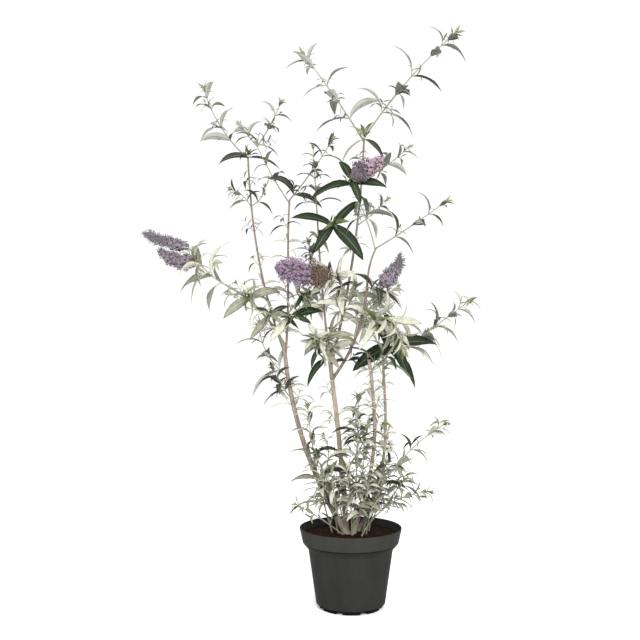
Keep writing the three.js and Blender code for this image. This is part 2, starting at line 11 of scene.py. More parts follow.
import bpy
import numpy as np
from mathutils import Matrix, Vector


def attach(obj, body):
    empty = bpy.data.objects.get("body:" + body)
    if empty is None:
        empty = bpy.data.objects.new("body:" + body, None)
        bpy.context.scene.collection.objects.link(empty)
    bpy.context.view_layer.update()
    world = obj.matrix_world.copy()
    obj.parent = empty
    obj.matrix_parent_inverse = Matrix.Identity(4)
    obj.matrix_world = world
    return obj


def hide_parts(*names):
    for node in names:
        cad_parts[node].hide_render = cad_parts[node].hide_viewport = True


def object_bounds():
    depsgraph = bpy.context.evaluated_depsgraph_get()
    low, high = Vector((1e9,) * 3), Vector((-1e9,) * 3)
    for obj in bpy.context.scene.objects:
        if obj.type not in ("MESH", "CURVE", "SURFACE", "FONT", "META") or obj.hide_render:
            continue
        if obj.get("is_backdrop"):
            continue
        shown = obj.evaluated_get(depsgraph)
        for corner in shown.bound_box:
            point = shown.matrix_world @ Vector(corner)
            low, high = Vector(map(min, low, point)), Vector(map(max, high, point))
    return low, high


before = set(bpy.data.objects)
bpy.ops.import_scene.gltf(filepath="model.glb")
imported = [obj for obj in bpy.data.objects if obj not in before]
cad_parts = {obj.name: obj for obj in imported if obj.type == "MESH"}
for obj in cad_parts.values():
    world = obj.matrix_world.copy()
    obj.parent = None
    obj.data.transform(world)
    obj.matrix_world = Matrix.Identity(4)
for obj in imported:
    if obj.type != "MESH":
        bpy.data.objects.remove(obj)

bl_info = {
    "name": "Potted butterfly bush",
    "version": (1, 0, 0),
    "blender": (4, 5, 0),
    "location": "View3D > Sidebar > Bush",
    "description": "Makes the pot, the compost, the stems, the leaves and the flowers of a butterfly bush",
    "category": "Add Mesh",
}

MM = 0.001
CAD_BOX = [list(corner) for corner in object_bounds()]

# ---------------------------------------------------------------- growth values, in millimetres

# The pot has a recessed foot, a wall up to its neck, a shelf under its thick band, and a rim.
POT = dict(
    height=163, rim_radius=105, band_radius=98.7, band_foot=133, neck_radius=87, neck_height=119,
    wall_foot_radius=71, foot_radius=65, foot_height=8, wall=2, base=9.5,
)
DRAIN = dict(count=8, width=15, depth=36, height=7)  # notches through the foot
COMPOST = dict(height=151, edge_drop=3, flat_radius=52)
GAP = 0.3  # clearance between one piece and the next
GROUND = COMPOST["height"] + GAP
SUNK = 7  # how deep a stem or shoot goes into the compost
FLARE = dict(share=0.28, reach=10)  # the swollen foot of a stem
COLLAR = dict(share=0.45, reach=7)  # the swollen start of a bough
PATH_STEPS = 24
LEAF = dict(width_share=0.225, opening=52, curl=55, sag=0.5, twist=64)
SHOOT_WIDTH = dict(per_length=0.006, base=2.2, tip=1.5)


def rooted(x, y, length, heading, lean, **rest):
    """A stem or shoot that stands on the compost."""
    return dict(foot=(x, y), length=length, heading=heading, lean=lean, **{"turn": 0, **rest})


def borne(on, at, length, heading, lean, **rest):
    """One that starts on another, at a share of its length. on is a limb or an earlier shoot."""
    return dict(on=on, at=at, length=length, heading=heading, lean=lean, **{"turn": 0, **rest})


# heading is degrees in plan from +X towards +Y and lean is degrees from upright, both at the
# start and at the end. width is the diameter at the start and at the end.
LIMBS = {
    "trunk": rooted(-8, 6, 361, (-158, -164), (4, 8), width=(11, 8.5)),
    "stem_left": rooted(-8, -16, 413, (172, 150), (33, 6), width=(12.5, 8)),
    "stem_right_front": rooted(6, -10, 382, (11, -162), (18, 8), width=(8, 6.5)),
    "stem_right_back": rooted(16, 14, 373, (-5, 141), (29, 1), width=(7.5, 5)),
    "bough_upright": borne("trunk", 1, 299, (-149, -139), (8, 4), width=(5, 2.8)),
    "bough_centre": borne("trunk", 0.95, 481, (11, 34), (15, 3), width=(6, 3.8)),
    "bough_inner": borne("trunk", 0.88, 203, (-22, -62), (40, 13), width=(6.4, 4.6)),
    "bough_right": borne("bough_inner", 1, 87, (-74, -37), (4, 33), width=(4.2, 3.2)),
    "bough_left": borne("stem_left", 1, 176, (-158, -165), (27, 63), width=(6, 4.4)),
    "bough_left_tall": borne("stem_left", 0.96, 430, (160, 118), (22, 6), width=(4.6, 3.6)),
    "bough_centre_left": borne("stem_left", 0.93, 330, (-30, -150), (6, -4), width=(5, 3.6)),
}

# Masses of foliage. leaf is the longest leaf and turn is the roll of the first pair. The pairs
# stand at the distances in nodes, or every gap after a bare stretch, closing up towards the tip.
# opening and curl are the leaves' own where they aren't the usual ones, broad widens them, and
# bloom is the width of a flower spike that takes the whole length of its shoot.
MASSES = {
    "top_left": [borne("bough_centre", 0.985, 229, (160, 164), (31, 38), leaf=95,
        nodes=(59, 101, 147, 195, 213))],
    "top_fork": [borne("bough_centre", 0.955, 26, (-80, -100), (40, 15), leaf=115, nodes=(20,), turn=-8,
        broad=1.15, opening=104, curl=46)],
    "top_right": [borne("bough_centre", 1, 274, (-12, -10), (34, 50), leaf=100,
        nodes=(63, 108, 158, 213, 244, 259))],
    "left_tall": [borne("bough_left_tall", 1, 184, (160, 172), (50, 17), leaf=87, nodes=(58, 93, 141, 167),
        turn=45)],
    "centre_left": [
        borne("bough_centre_left", 0.98, 136, (176, 176), (35, 24), leaf=64, nodes=(53, 92), turn=45),
        borne(0, 1, 99, (-12, -10), (35, 24), leaf=59, nodes=(4, 41, 72, 93)),
        borne(0, 1, 59, (168, 165), (43, 34), leaf=51, nodes=(28, 47)),
    ],
    "centre_front": [borne("bough_centre_left", 1, 156, (-40, -40), (52, 41), leaf=72,
        nodes=(15, 79, 118, 141), turn=20)],
    "left_arm": [
        borne("bough_left", 1, 109, (-165, -150), (64, 28), leaf=95, nodes=(9, 33, 62, 85), turn=60),
        borne(0, 1, 97, (-160, -161), (81, 68), bloom=20),
        borne(0, 0.71, 87, (-158, -162), (110, 37), bloom=28),
    ],
    "left_bend": [borne("bough_left", 0.66, 32, (-90, -90), (60, 84), leaf=72, nodes=(12, 30), turn=30,
        broad=1.15, opening=60, curl=50)],
    "left_bend_low": [borne("bough_left", 0.34, 44, (-80, -90), (60, 84), leaf=64, nodes=(16, 40), turn=60,
        broad=1.1, opening=62, curl=50)],
    "right_arm": [borne("bough_right", 1, 160, (-16, -19), (61, 55), leaf=67, nodes=(43, 85, 121, 146))],
    "bloom_top": [
        borne("bough_right", 0.95, 135, (150, 175), (13, 29), leaf=79, nodes=(71, 104), turn=20, opening=80,
            curl=40),
        borne(0, 1, 26, (-90, -100), (40, 72), leaf=92, nodes=(8, 20), turn=12, broad=1.25, opening=78,
            curl=30),
        borne(1, 1, 73, (-8, -8), (62, 56), bloom=50),
    ],
    "upper_back": [borne("bough_centre", 0.818, 126, (24, 10), (64, 46), leaf=61, nodes=(41, 70, 95, 114),
        turn=60)],
    "upright": [borne("bough_upright", 1, 124, (-117, -116), (8, 8), leaf=60, bare=14, gap=28, turn=30)],
    "upright_low": [borne("bough_upright", 0.6, 62, (-150, -120), (50, 15), leaf=66, bare=34, gap=16,
        turn=70)],
    "centre": [borne("bough_upright", 0.76, 74, (-10, -84), (12, 88), leaf=138, nodes=(60, 72), turn=22,
        broad=1.2, opening=80, curl=34)],
    "centre_mid": [borne("bough_centre", 0.62, 84, (30, 10), (60, 40), leaf=70, bare=26, gap=24, turn=40,
        broad=0.9)],
    "centre_low": [borne("bough_centre", 0.22, 78, (-70, -60), (60, 30), leaf=88, bare=24, gap=20, turn=15,
        broad=0.85)],
    "mid_left": [borne("bough_centre_left", 0.24, 44, (-60, -90), (70, 84), leaf=84, nodes=(22, 42), turn=82,
        broad=1.15, opening=70, curl=30)],
    "mid_low": [borne("bough_centre_left", 0.38, 44, (-20, -50), (60, 104), leaf=74, nodes=(24, 36), turn=40,
        opening=60)],
    "bloom_centre": [
        borne("bough_centre", 0.36, 69, (-123, -126), (95, 57), leaf=77, nodes=(24, 42, 58), turn=40,
            broad=1.1),
        borne(0, 1, 113, (-168, -170), (91, 72), bloom=56),
    ],
    "bloom_right": [
        borne("bough_inner", 0.95, 46, (-55, -52), (60, 70), leaf=77, nodes=(20, 34), turn=20),
        borne(0, 1, 81, (-37, -34), (72, 3), bloom=42),
    ],
    "fork": [borne("trunk", 0.975, 61, (-114, -122), (54, 57), leaf=79, nodes=(14, 34, 52), turn=24,
        opening=58, curl=60)],
    "left_fork": [borne("stem_left", 0.84, 126, (170, 160), (57, 5), leaf=77, nodes=(20, 52, 88, 113),
        turn=10)],
    "inner_left": [borne("stem_left", 0.72, 84, (-140, -136), (46, 30), leaf=56, bare=26, gap=20)],
    "inner_front": [borne("bough_inner", 0.6, 147, (-32, -64), (40, 170), leaf=92, bare=20, gap=20, turn=30,
        broad=0.8, curl=70)],
    "inner_back": [borne("bough_inner", 0.5, 122, (61, 46), (39, 60), leaf=86, bare=26, gap=22, broad=0.85)],
    "inner_right": [borne("bough_inner", 0.82, 74, (30, 5), (60, 60), leaf=80, bare=22, gap=20, turn=10,
        broad=0.9)],
    "below_cut": [borne("stem_right_front", 0.9, 70, (-30, -40), (40, 25), leaf=80, bare=16, gap=18,
        turn=20)],
    "right": [borne("stem_right_back", 1, 70, (-62, -80), (46, 80), leaf=123, nodes=(26, 42, 60), turn=-30,
        broad=1.25, opening=62, curl=34)],
    "right_low": [borne("stem_right_back", 0.94, 229, (10, -10), (50, 54), leaf=79,
        nodes=(71, 102, 142, 176, 204, 220))],
    "low_right": [
        rooted(24, -6, 304, (-44, -29), (19, 58), leaf=60, nodes=(120, 165, 216, 264, 289)),
        borne(0, 0.332, 126, (-30, -60), (15, -4), leaf=64, nodes=(41, 79, 110)),
    ],
    "low_front": [
        rooted(22, -29, 170, (-9, -12), (26, 84), leaf=49, nodes=(47, 75, 97, 119, 139, 154, 164),
            broad=0.95),
        borne(0, 0.395, 82, (-30, -20), (34, 41), leaf=54, nodes=(30, 57, 74), broad=1.1),
    ],
    "low_left": [rooted(-16, -24, 121, (-161, -155), (50, 62), leaf=50, bare=34, gap=17, broad=0.9)],
    "base_left": [
        rooted(-38, -2, 267, (-154, -117), (18, 12), leaf=77, bare=60, gap=31),
        borne(0, 0.425, 98, (-30, -20), (43, -26), leaf=56, nodes=(52, 81)),
    ],
    "base_middle": [rooted(4, -24, 280, (-52, -93), (5, 10), leaf=80, bare=56, gap=30)],
    "trunk_low": [borne("trunk", 0.34, 120, (-10, 20), (45, 12), leaf=58, bare=24, gap=20, broad=0.9)],
    "stem_low": [borne("stem_right_front", 0.42, 112, (200, 240), (40, 10), leaf=56, bare=20, gap=20,
        turn=30, broad=0.9)],
    "tall_fork": [borne("bough_left_tall", 0.97, 24, (-80, -90), (40, 60), leaf=108, nodes=(18,), turn=-6,
        opening=72, curl=46)],
    "tall_low": [
        borne("bough_left_tall", 0.74, 60, (-160, -170), (20, 73), leaf=51, nodes=(19, 38, 51)),
        borne(0, 0.12, 55, (-30, -20), (80, 6), leaf=46, nodes=(19, 38), turn=20),
    ],
    "mid_front": [borne("bough_centre", 0.1, 84, (-112, -128), (66, 96), leaf=79, nodes=(24, 46, 68, 80),
        turn=30, broad=0.95, opening=58, curl=62)],
    "mid_back": [borne("bough_upright", 0.3, 88, (100, 124), (48, 76), leaf=72, nodes=(26, 48, 70, 84),
        turn=10, broad=0.95)],
}

# A ring of short shoots round the foot of the stems, each with a second one at its side.
BASAL = dict(
    centre=(4, 4), radius=35, first_heading=122, heading_step=-54, length=(120, 185), lean=(12, 26),
    side=dict(at=0.14, share=0.72, turn=60, lean=(38, 16)),
    leaves=dict(leaf=60, bare=34, gap=26),
)
BASAL_NAMES = [
    "base_" + side for side in ("back_left", "back", "back_right", "right", "front_right", "front_left")
]
MASS_NODES = ["foliage_" + name for name in [*MASSES, *BASAL_NAMES]]

# How the foliage looks, by mass: broad dark leaves, a mixture of dark and pale ones, a softer one
# of green and pale, pale felted leaves in the thicket, and fresh green ones low down and on the
# arms. Every other mass is greyish.
KINDS = {
    "dark": ("centre", "bloom_top", "right", "below_cut"),
    "mixed": ("mid_left", "mid_low", "fork"),
    "soft": ("centre_low", "inner_front", "mid_front"),
    "pale": ("inner_back", "inner_right", "bloom_centre", "mid_back"),
    "green": (
        "base_left", "base_middle", *BASAL_NAMES, "low_right", "low_front", "low_left", "trunk_low",
        "stem_low", "left_arm", "left_bend", "left_bend_low", "right_low",
    ),
}
TINTS = ("dark", "green", "grey", "shade", "pale", "young")

# The tints that a kind of foliage deals out to its leaves, and the share of the leaves that
# takes each: old leaves stay dark, and the rest pale as their wool shows.
DEALS = {
    "dark": {"dark": 0.94, "shade": 0.06},
    "mixed": {"dark": 0.55, "green": 0.2, "pale": 0.25},
    "green": {"green": 0.5, "shade": 0.22, "pale": 0.28},
    "soft": {"green": 0.4, "pale": 0.6},
    "grey": {"grey": 0.46, "shade": 0.54},
    "pale": {"pale": 0.88, "grey": 0.12},
}

# Side shoots in the leaf axils: how long the longest of their leaves is against the leaf that
# shelters it, what share of the axils has one, how broad its leaves are, and below what share of
# the shoot's length no axil has one.
AXILS = {
    "dark": dict(size=0.4, share=0.6),
    "mixed": dict(size=0.7, share=0.85),
    "green": dict(size=1.3, share=1, broad=0.6, least=0.2),
    "grey": dict(size=0.66, share=0.85, broad=0.7),
    "soft": dict(size=0.9, share=1, broad=0.7),
    "pale": dict(size=0.95, share=1, broad=0.75),
}
SPRIG_GAP = 8  # distance between the pairs of a side shoot
SPRIG_WIDTH = (1.5, 0.9)
SMALL_BROAD = 0.8  # how broad small leaves are where AXILS doesn't say
YOUNG_SHARES = dict(axil=0.06, limb=0.08)  # shares of the side shoots whose leaves are young

# The cluster of young leaves that closes a shoot: how far below the tip it starts and how long it
# is, its pairs, the length of its leaves against the longest of the shoot, how broad they are, and
# how far they spread against other small leaves.
TUFT = dict(below=5, length=9, pairs=3, size=0.4, broad=0.9, spread=0.4)

# Masses in front of the broad dark leaves and of the feet of the stems, whose axils have fewer
# side shoots, and low masses whose side shoots carry longer leaves.
OPEN = ("inner_front", "below_cut", "base_front_left", "base_front_right", "base_middle", "low_left")
OPEN_SHARE = 0.5
PLUMES = ("low_front", "low_right")
PLUME_GROWTH = 1.3

# Side shoots on the boughs stand at nodes, except on a bare foot, and carry their longest leaves
# between the heights of the thicket.
LIMB_NODE_GAP = 46
LIMB_BUDS = 0.6  # share of the buds at these nodes that grow out
LIMB_SPRIG_WIDTH = (1.7, 0.9)
LEAFY = ("stem_right_front", "stem_right_back", "bough_left")  # limbs with nodes twice as close
BARE_FEET = {"trunk": 0.5, "stem_left": 0.62, "stem_right_front": 0.14, "stem_right_back": 0.14}
BARE_FOOT = 0.08
THICKET = (300, 760)
THICKET_LEAF, HIGH_LEAF = (40, 76), (22, 50)
LEAF_CLEARANCE = 34  # height over the compost that the outer part of every leaf keeps

# Flower spikes, by mass and order: the colours of their florets from foot to tip, how blunt the
# spike is, how unevenly its bunches of florets stand out, and what its bloom's width is scaled by.
SPIKES = {
    ("left_arm", 1): dict(tints=("mauve", "mauve", "bud", "bud", "bud"), blunt=6, ragged=0.55, full=1.6),
    ("left_arm", 2): dict(tints=("faded", "mauve", "mauve", "bud"), blunt=4, ragged=0.5, full=1.25),
    ("bloom_top", 2): dict(
        tints=("withered", "calyx", "pink", "pink", "pink"), blunt=2.4, ragged=0.5, full=1
    ),
    ("bloom_centre", 1): dict(
        tints=("faded", "faded", "lilac", "lilac", "lilac"), blunt=4.5, ragged=0.45, full=1.1
    ),
    # The right spike's tip is grey closed buds, drawn darker than the bud tint as painted shade.
    ("bloom_right", 1): dict(
        tints=("faded", "mauve", "mauve", "husk", "husk", "husk"), blunt=2.4, ragged=0.6, full=1
    ),
}
SHOULDER = 0.15  # share of a spike over which it swells to its full width
FLORET_TINTS = ("lilac", "mauve", "pink", "faded", "calyx", "withered", "bud", "husk")
THROATS = {"faded": "straw", "calyx": "withered", "withered": "calyx"}  # throats of the dry florets
FLORET_SPACING = 4.9
CYME = dict(length=8, around=7)  # florets stand in small bunches of this size along and round a spike
GOLDEN_TURN = 137.508

# ---------------------------------------------------------------- growth


def luck(seed, step):
    """A repeatable number from 0 to 1 for a seed and a step."""
    value = math.sin(seed * 12.9898 + step * 78.233) * 43758.5453
    return value - math.floor(value)


def mix(ends, share):
    return ends[0] + (ends[1] - ends[0]) * share


def unit(v):
    return v / np.maximum(np.linalg.norm(v, axis=-1, keepdims=True), 1e-9)


def direction(heading, lean):
    h, l = np.radians(heading), np.radians(lean)
    return np.stack([np.sin(l) * np.cos(h), np.sin(l) * np.sin(h), np.cos(l)], axis=-1)


def turned(v, axis, degrees):
    """v turned about a unit axis; rows of arrays turn each by its own angle."""
    angle = np.radians(np.asarray(degrees, float))[..., None]
    along = np.sum(axis * v, axis=-1, keepdims=True)
    return v * np.cos(angle) + np.cross(axis, v) * np.sin(angle) + axis * along * (1 - np.cos(angle))


class Path:
    """A centre line with a way and a width at each distance along it."""

    def __init__(self, start, ways, length, width):
        self.ways = ways
        self.length = length
        self.width = width
        self.stride = length / len(ways)
        steps = np.cumsum(ways * self.stride, axis=0)
        self.points = np.asarray(start, float) + np.vstack([np.zeros(3), steps])

    def along(self, distance):
        """Place, way and radius at a distance from the start."""
        i = min(max(int(distance // self.stride), 0), len(self.ways) - 1)
        point = self.points[i] + self.ways[i] * (distance - i * self.stride)
        following = self.ways[min(i + 1, len(self.ways) - 1)]
        return point, unit(self.ways[i] + following), mix(self.width, distance / self.length) / 2

    def smooth(self, distance):
        """Place and way with the corners of the line rounded off."""
        spans = np.arange(len(self.points)) * self.stride
        point = np.array([np.interp(distance, spans, self.points[:, k]) for k in range(3)])
        middles = (np.arange(len(self.ways)) + 0.5) * self.stride
        way = unit(np.array([np.interp(distance, middles, self.ways[:, k]) for k in range(3)]))
        return point, way


def grow(plan, start, width):
    share = (np.arange(PATH_STEPS) + 0.5) / PATH_STEPS
    ways = direction(mix(plan["heading"], share), mix(plan["lean"], share))
    return Path(start, ways, plan["length"], width)


def sprig(start, way, out, length, width):
    """A short side shoot that leaves along out and turns half back to the way of its carrier."""
    share = (np.arange(6)[:, None] + 0.5) / 6
    ways = unit(unit(way + 1.1 * out) * (1 - share) + unit(way + 0.35 * out) * share)
    return Path(start, ways, length, width)


def clear_start(carrier, at, path):
    """How far along a new shoot its surface comes clear of the limb that carries it."""
    _, way, radius = carrier.along(at * carrier.length)
    cosine = abs(float(way @ path.ways[0]))
    sine = math.sqrt(1 - cosine * cosine)
    own = path.width[0] / 2
    if at == 1:
        return (GAP + own * sine) / cosine
    return (radius + GAP + own * cosine) / sine


def start_of(plan, limbs, siblings):
    """The place where a limb or shoot starts."""
    if "foot" in plan:
        return np.array([*plan["foot"], GROUND], float)
    carrier = siblings[plan["on"]] if isinstance(plan["on"], int) else limbs[plan["on"]]
    return carrier.along(plan["at"] * carrier.length)[0]


def grow_limbs():
    limbs = {}
    for name, plan in LIMBS.items():
        limbs[name] = grow(plan, start_of(plan, limbs, []), plan["width"])
    return limbs


def basal_masses():
    masses = {}
    side = BASAL["side"]
    for i, name in enumerate(BASAL_NAMES):
        heading = BASAL["first_heading"] + BASAL["heading_step"] * i
        way = direction(heading, 90) * BASAL["radius"]
        length = mix(BASAL["length"], luck(7, i))
        headings = (heading, heading + 60 * (luck(8, i) - 0.5))
        leans = (BASAL["lean"][0], mix(BASAL["lean"], luck(9, i)))
        leaves = dict(turn=90 * luck(10, i), **BASAL["leaves"])
        foot = BASAL["centre"][0] + way[0], BASAL["centre"][1] + way[1]
        main = rooted(*foot, length, headings, leans, **leaves)
        headings = (heading + side["turn"], heading + 0.5 * side["turn"])
        second = borne(0, side["at"], length * side["share"], headings, side["lean"], **leaves)
        masses[name] = [main, second]
    return masses


def dealt(kind, share):
    """The tint that a share from 0 to 1 draws from a deal."""
    for tint, part in DEALS[kind].items():
        share -= part
        if share < 0:
            break
    return tint


def grow_shoots(limbs):
    """Every shoot of every mass, with its path and the distance at which it comes clear of its limb."""
    shoots = []
    for m, (name, plans) in enumerate({**MASSES, **basal_masses()}.items()):
        kind = next((kind for kind, masses in KINDS.items() if name in masses), "grey")
        siblings = []
        for i, plan in enumerate(plans):
            base = SHOOT_WIDTH["base"] + SHOOT_WIDTH["per_length"] * plan["length"]
            path = grow(plan, start_of(plan, limbs, siblings), (base, SHOOT_WIDTH["tip"]))
            siblings.append(path)
            met = i == 0 and "on" in plan
            shoots.append(
                dict(
                    mass=name,
                    kind=kind,
                    plan=plan,
                    path=path,
                    seed=10 * m + i + 1,
                    spike=SPIKES.get((name, i)),
                    first=clear_start(limbs[plan["on"]], plan["at"], path) if met else 0,
                    ends_in_bloom=any(other.get("bloom") and other.get("on") == i for other in plans),
                )
            )
    return shoots


def node_distances(shoot):
    """Distances along a shoot at which its pairs stand."""
    plan, path = shoot["plan"], shoot["path"]
    if shoot["spike"]:
        return []
    if "nodes" in plan:
        return plan["nodes"]
    distances = []
    distance = max(plan["bare"], shoot["first"] + 4)
    while distance < path.length - 3:
        distances.append(distance)
        distance += plan["gap"] * (1 - 0.35 * distance / path.length)
    return distances


def leaf_sites(shoot):
    """Where a shoot carries its leaves: (number, share of the length, place, way, sideways, roll)."""
    path = shoot["path"]
    for k, distance in enumerate(node_distances(shoot)):
        point, way, _ = path.along(distance)
        flat = unit(np.cross(way, (0, 1, 0)))
        for half in (0, 1):
            roll = shoot["plan"]["turn"] + 90 * k + 180 * half
            yield 2 * k + half, distance / path.length, point, way, flat, roll


def pair_leaves(shoot):
    """Opposite pairs up a shoot, smaller and more upright towards its tip."""
    plan, seed = shoot["plan"], shoot["seed"]
    rows = []
    for n, share, point, way, flat, roll in leaf_sites(shoot):
        length = plan["leaf"] * (1 - 0.5 * share * share) * (0.82 + 0.3 * luck(seed, n + 50))
        opening = plan.get("opening", LEAF["opening"] * (1 - 0.4 * share))
        rows.append(
            dict(
                root=point,
                axis=way,
                out=turned(flat, way, roll + 24 * (luck(seed, n) - 0.5)),
                length=length,
                opening=opening + 16 * (luck(seed, n + 90) - 0.5),
                curl=plan.get("curl", LEAF["curl"]) + 30 * (luck(seed, n + 170) - 0.5),
                twist=LEAF["twist"] * (luck(seed, n + 130) - 0.5),
                broad=plan.get("broad", 1),
                tint=dealt(shoot["kind"], luck(seed, n + 190)),
            )
        )
    return rows


def small_pairs(path, pairs, longest, roll, seed, tint, broad=SMALL_BROAD, spread=1):
    """Pairs of small leaves up a side shoot or a tip, each a quarter turn from the last."""
    rows = []
    for k in range(pairs):
        share = (k + 1) / pairs
        point, way, _ = path.along(path.length * share)
        flat = unit(np.cross(way, (0.13, 0.99, 0.07)))
        for half in (0, 1):
            n = 7 * k + 3 * half
            rows.append(
                dict(
                    root=point,
                    axis=way,
                    out=turned(flat, way, roll + 90 * k + 180 * half + 40 * (luck(seed, n + 12) - 0.5)),
                    length=longest * (1 - 0.55 * share) * (0.75 + 0.5 * luck(seed, n + 11)),
                    opening=spread * (24 + 34 * (1 - share) + 20 * luck(seed, n + 13)),
                    curl=spread * (35 + 60 * luck(seed, n + 14)),
                    twist=60 * (luck(seed, n + 15) - 0.5),
                    broad=broad,
                    tint=tint,
                )
            )
    return rows


def axil_growth(shoot):
    """Side shoots in the leaf axils, and the cluster of young leaves that closes the shoot."""
    plan, seed, kind, mass = shoot["plan"], shoot["seed"], shoot["kind"], shoot["mass"]
    habit = AXILS[kind]
    chance = habit["share"] * (OPEN_SHARE if mass in OPEN else 1)
    sprigs, rows = [], []
    for n, share, point, way, flat, roll in leaf_sites(shoot):
        if share < habit.get("least", 0) or luck(seed, n + 210) > chance:
            continue
        pairs = max(1, round(2 * (1 - 0.6 * share) * (0.6 + 0.8 * luck(seed, n + 230))))
        out = turned(flat, way, roll + 30 * (luck(seed, n + 220) - 0.5))
        path = sprig(point, way, out, SPRIG_GAP * (pairs + 0.4), SPRIG_WIDTH)
        sprigs.append(path)
        longest = plan["leaf"] * habit["size"] * (1 - 0.3 * share) * (PLUME_GROWTH if mass in PLUMES else 1)
        young = luck(seed, n + 240) < YOUNG_SHARES["axil"]
        tint = "young" if young else dealt(kind, luck(seed, n + 245))
        first_roll = 90 * luck(seed, n + 250)
        broad = habit.get("broad", SMALL_BROAD)
        rows += small_pairs(path, pairs, longest, first_roll, seed + n, tint, broad)
    if not (shoot["spike"] or shoot["ends_in_bloom"]):
        point, way, _ = shoot["path"].along(shoot["path"].length - TUFT["below"])
        tip = Path(point, np.repeat(way[None], 4, axis=0), TUFT["length"], SPRIG_WIDTH)
        longest, roll = plan["leaf"] * TUFT["size"], plan["turn"] + 45
        shape = TUFT["broad"], TUFT["spread"]
        rows += small_pairs(tip, TUFT["pairs"], longest, roll, seed + 400, "young", *shape)
    return sprigs, rows


def limb_growth(limbs):
    """Small side shoots at the nodes of the boughs, where these are old enough to break again."""
    sprigs, rows = [], []
    for seed, (name, path) in enumerate(limbs.items()):
        gap = LIMB_NODE_GAP * (0.5 if name in LEAFY else 1)
        for k in range(1, int(path.length / gap)):
            distance = k * gap * (0.94 + 0.12 * luck(seed + 60, k))
            if distance < BARE_FEET.get(name, BARE_FOOT) * path.length:
                continue
            point, way, radius = path.along(distance)
            thick = THICKET[0] < point[2] < THICKET[1]
            flat = unit(np.cross(way, (0, 1, 0)))
            for half in (0, 1):
                n = 2 * k + half
                if luck(seed + 61, n) > LIMB_BUDS:
                    continue
                pairs = 1 + round(2 * luck(seed + 63, n))
                out = turned(flat, way, 90 * k + 180 * half + 50 * luck(seed + 62, n))
                twig = sprig(point, way, out, radius + SPRIG_GAP * (pairs + 0.4), LIMB_SPRIG_WIDTH)
                sprigs.append(twig)
                longest = mix(THICKET_LEAF if thick else HIGH_LEAF, luck(seed + 64, n))
                young = luck(seed + 65, n) < YOUNG_SHARES["limb"]
                tint = "young" if young else dealt("pale" if thick else "grey", luck(seed + 67, n))
                rows += small_pairs(twig, pairs, longest, 90 * luck(seed + 66, n), seed * 31 + n, tint)
    return sprigs, rows


def clear_of_limbs(rows, limbs):
    """The leaves whose outer part stays clear of every stem and bough, and of the compost."""
    line = np.vstack([path.points for path in limbs.values()])
    spans = [np.linspace(path.width[0], path.width[1], len(path.points)) for path in limbs.values()]
    radius = np.concatenate(spans) / 2
    spine = spines(rows, 8)[0][:, 3:]
    kept = []
    for row, points in zip(rows, spine):
        gaps = np.linalg.norm(points[:, None] - line[None], axis=2) - radius[None]
        if gaps.min() > 1 and points[:, 2].min() > GROUND + LEAF_CLEARANCE:
            kept.append(row)
    return kept


# ---------------------------------------------------------------- meshes from arrays


def column(rows, key):
    return np.array([row[key] for row in rows], float)


def spines(rows, steps):
    """Points (leaf, step, 3) of each leaf's bent spine, and its sideways direction."""
    root, axis, out, length = (column(rows, key) for key in ("root", "axis", "out", "length"))
    points = [root]
    for i in range(steps):
        share = (i + 0.5) / steps
        angle = np.radians(column(rows, "opening") + column(rows, "curl") * share)[:, None]
        way = axis * np.cos(angle) + out * np.sin(angle)
        way[:, 2] -= LEAF["sag"] * share
        points.append(points[-1] + unit(way) * (length / steps)[:, None])
    points = np.stack(points, axis=1)
    spine = unit(points[:, -1] - root)
    side = unit(turned(np.cross(axis, out), spine, column(rows, "twist")))
    return points, side


def blades(rows, steps, columns, width_share, thick):
    """Leaves as closed shells: vertices, quads, and for each quad 0 upper face, 1 underside, 2 rib."""
    points, side = spines(rows, steps)
    tangent = unit(np.gradient(points, axis=1))
    side = unit(side[:, None] - tangent * np.sum(tangent * side[:, None], axis=2, keepdims=True))
    up = np.cross(tangent, side)
    share = np.linspace(0, 1, steps + 1)
    broad = column(rows, "broad")
    blunt = np.interp(broad, (0.95, 1.2), (1.05, 0.7))[:, None]
    outline = np.maximum(np.sin(np.pi * share**0.8), 0.02)[None] ** blunt
    outline[:, -1] = 0.01
    half = (column(rows, "length") * broad * width_share / 2)[:, None] * outline
    across = np.array(columns)
    fold = 0.34 * np.abs(across) ** 1.2
    wave = 0.1 * np.sin(9 * share[None, :] + 7 * column(rows, "twist")[:, None])
    middle = points[:, :, None] + side[:, :, None] * (half[:, :, None] * across)[..., None]
    lift = half[:, :, None] * (fold + wave[:, :, None] * across)
    middle = middle + up[:, :, None] * lift[..., None]
    body = thick / 2 * (1 - np.abs(across) ** 3) * np.minimum(1, 8 * share * (1 - share))[:, None]
    body = up[:, :, None] * body[None, :, :, None]
    upper, lower = middle + body, middle - body
    tall, wide = steps + 1, len(columns)
    grid = np.arange(tall * wide).reshape(tall, wide)
    # The underside has its own vertices but for the outline, which both faces share.
    under = grid.copy()
    inner = under[1:-1, 1:-1]
    inner[:] = tall * wide + np.arange(inner.size).reshape(inner.shape)
    quads, kinds = [], []
    for sheet, kind in ((grid, 0), (under, 1)):
        for i in range(steps):
            for j in range(wide - 1):
                a, b, c, d = sheet[i, j], sheet[i + 1, j], sheet[i + 1, j + 1], sheet[i, j + 1]
                quads.append((a, b, c, d) if kind == 0 else (a, d, c, b))
                kinds.append(2 if wide > 3 and j == (wide - 1) // 2 else kind)
    count = len(rows)
    shells = [upper.reshape(count, -1, 3), lower[:, 1:-1, 1:-1].reshape(count, -1, 3)]
    each = tall * wide + inner.size
    quads = np.array(quads)[None] + (np.arange(count) * each)[:, None, None]
    return np.concatenate(shells, axis=1).reshape(-1, 3), quads.reshape(-1, 4), np.tile(kinds, count)


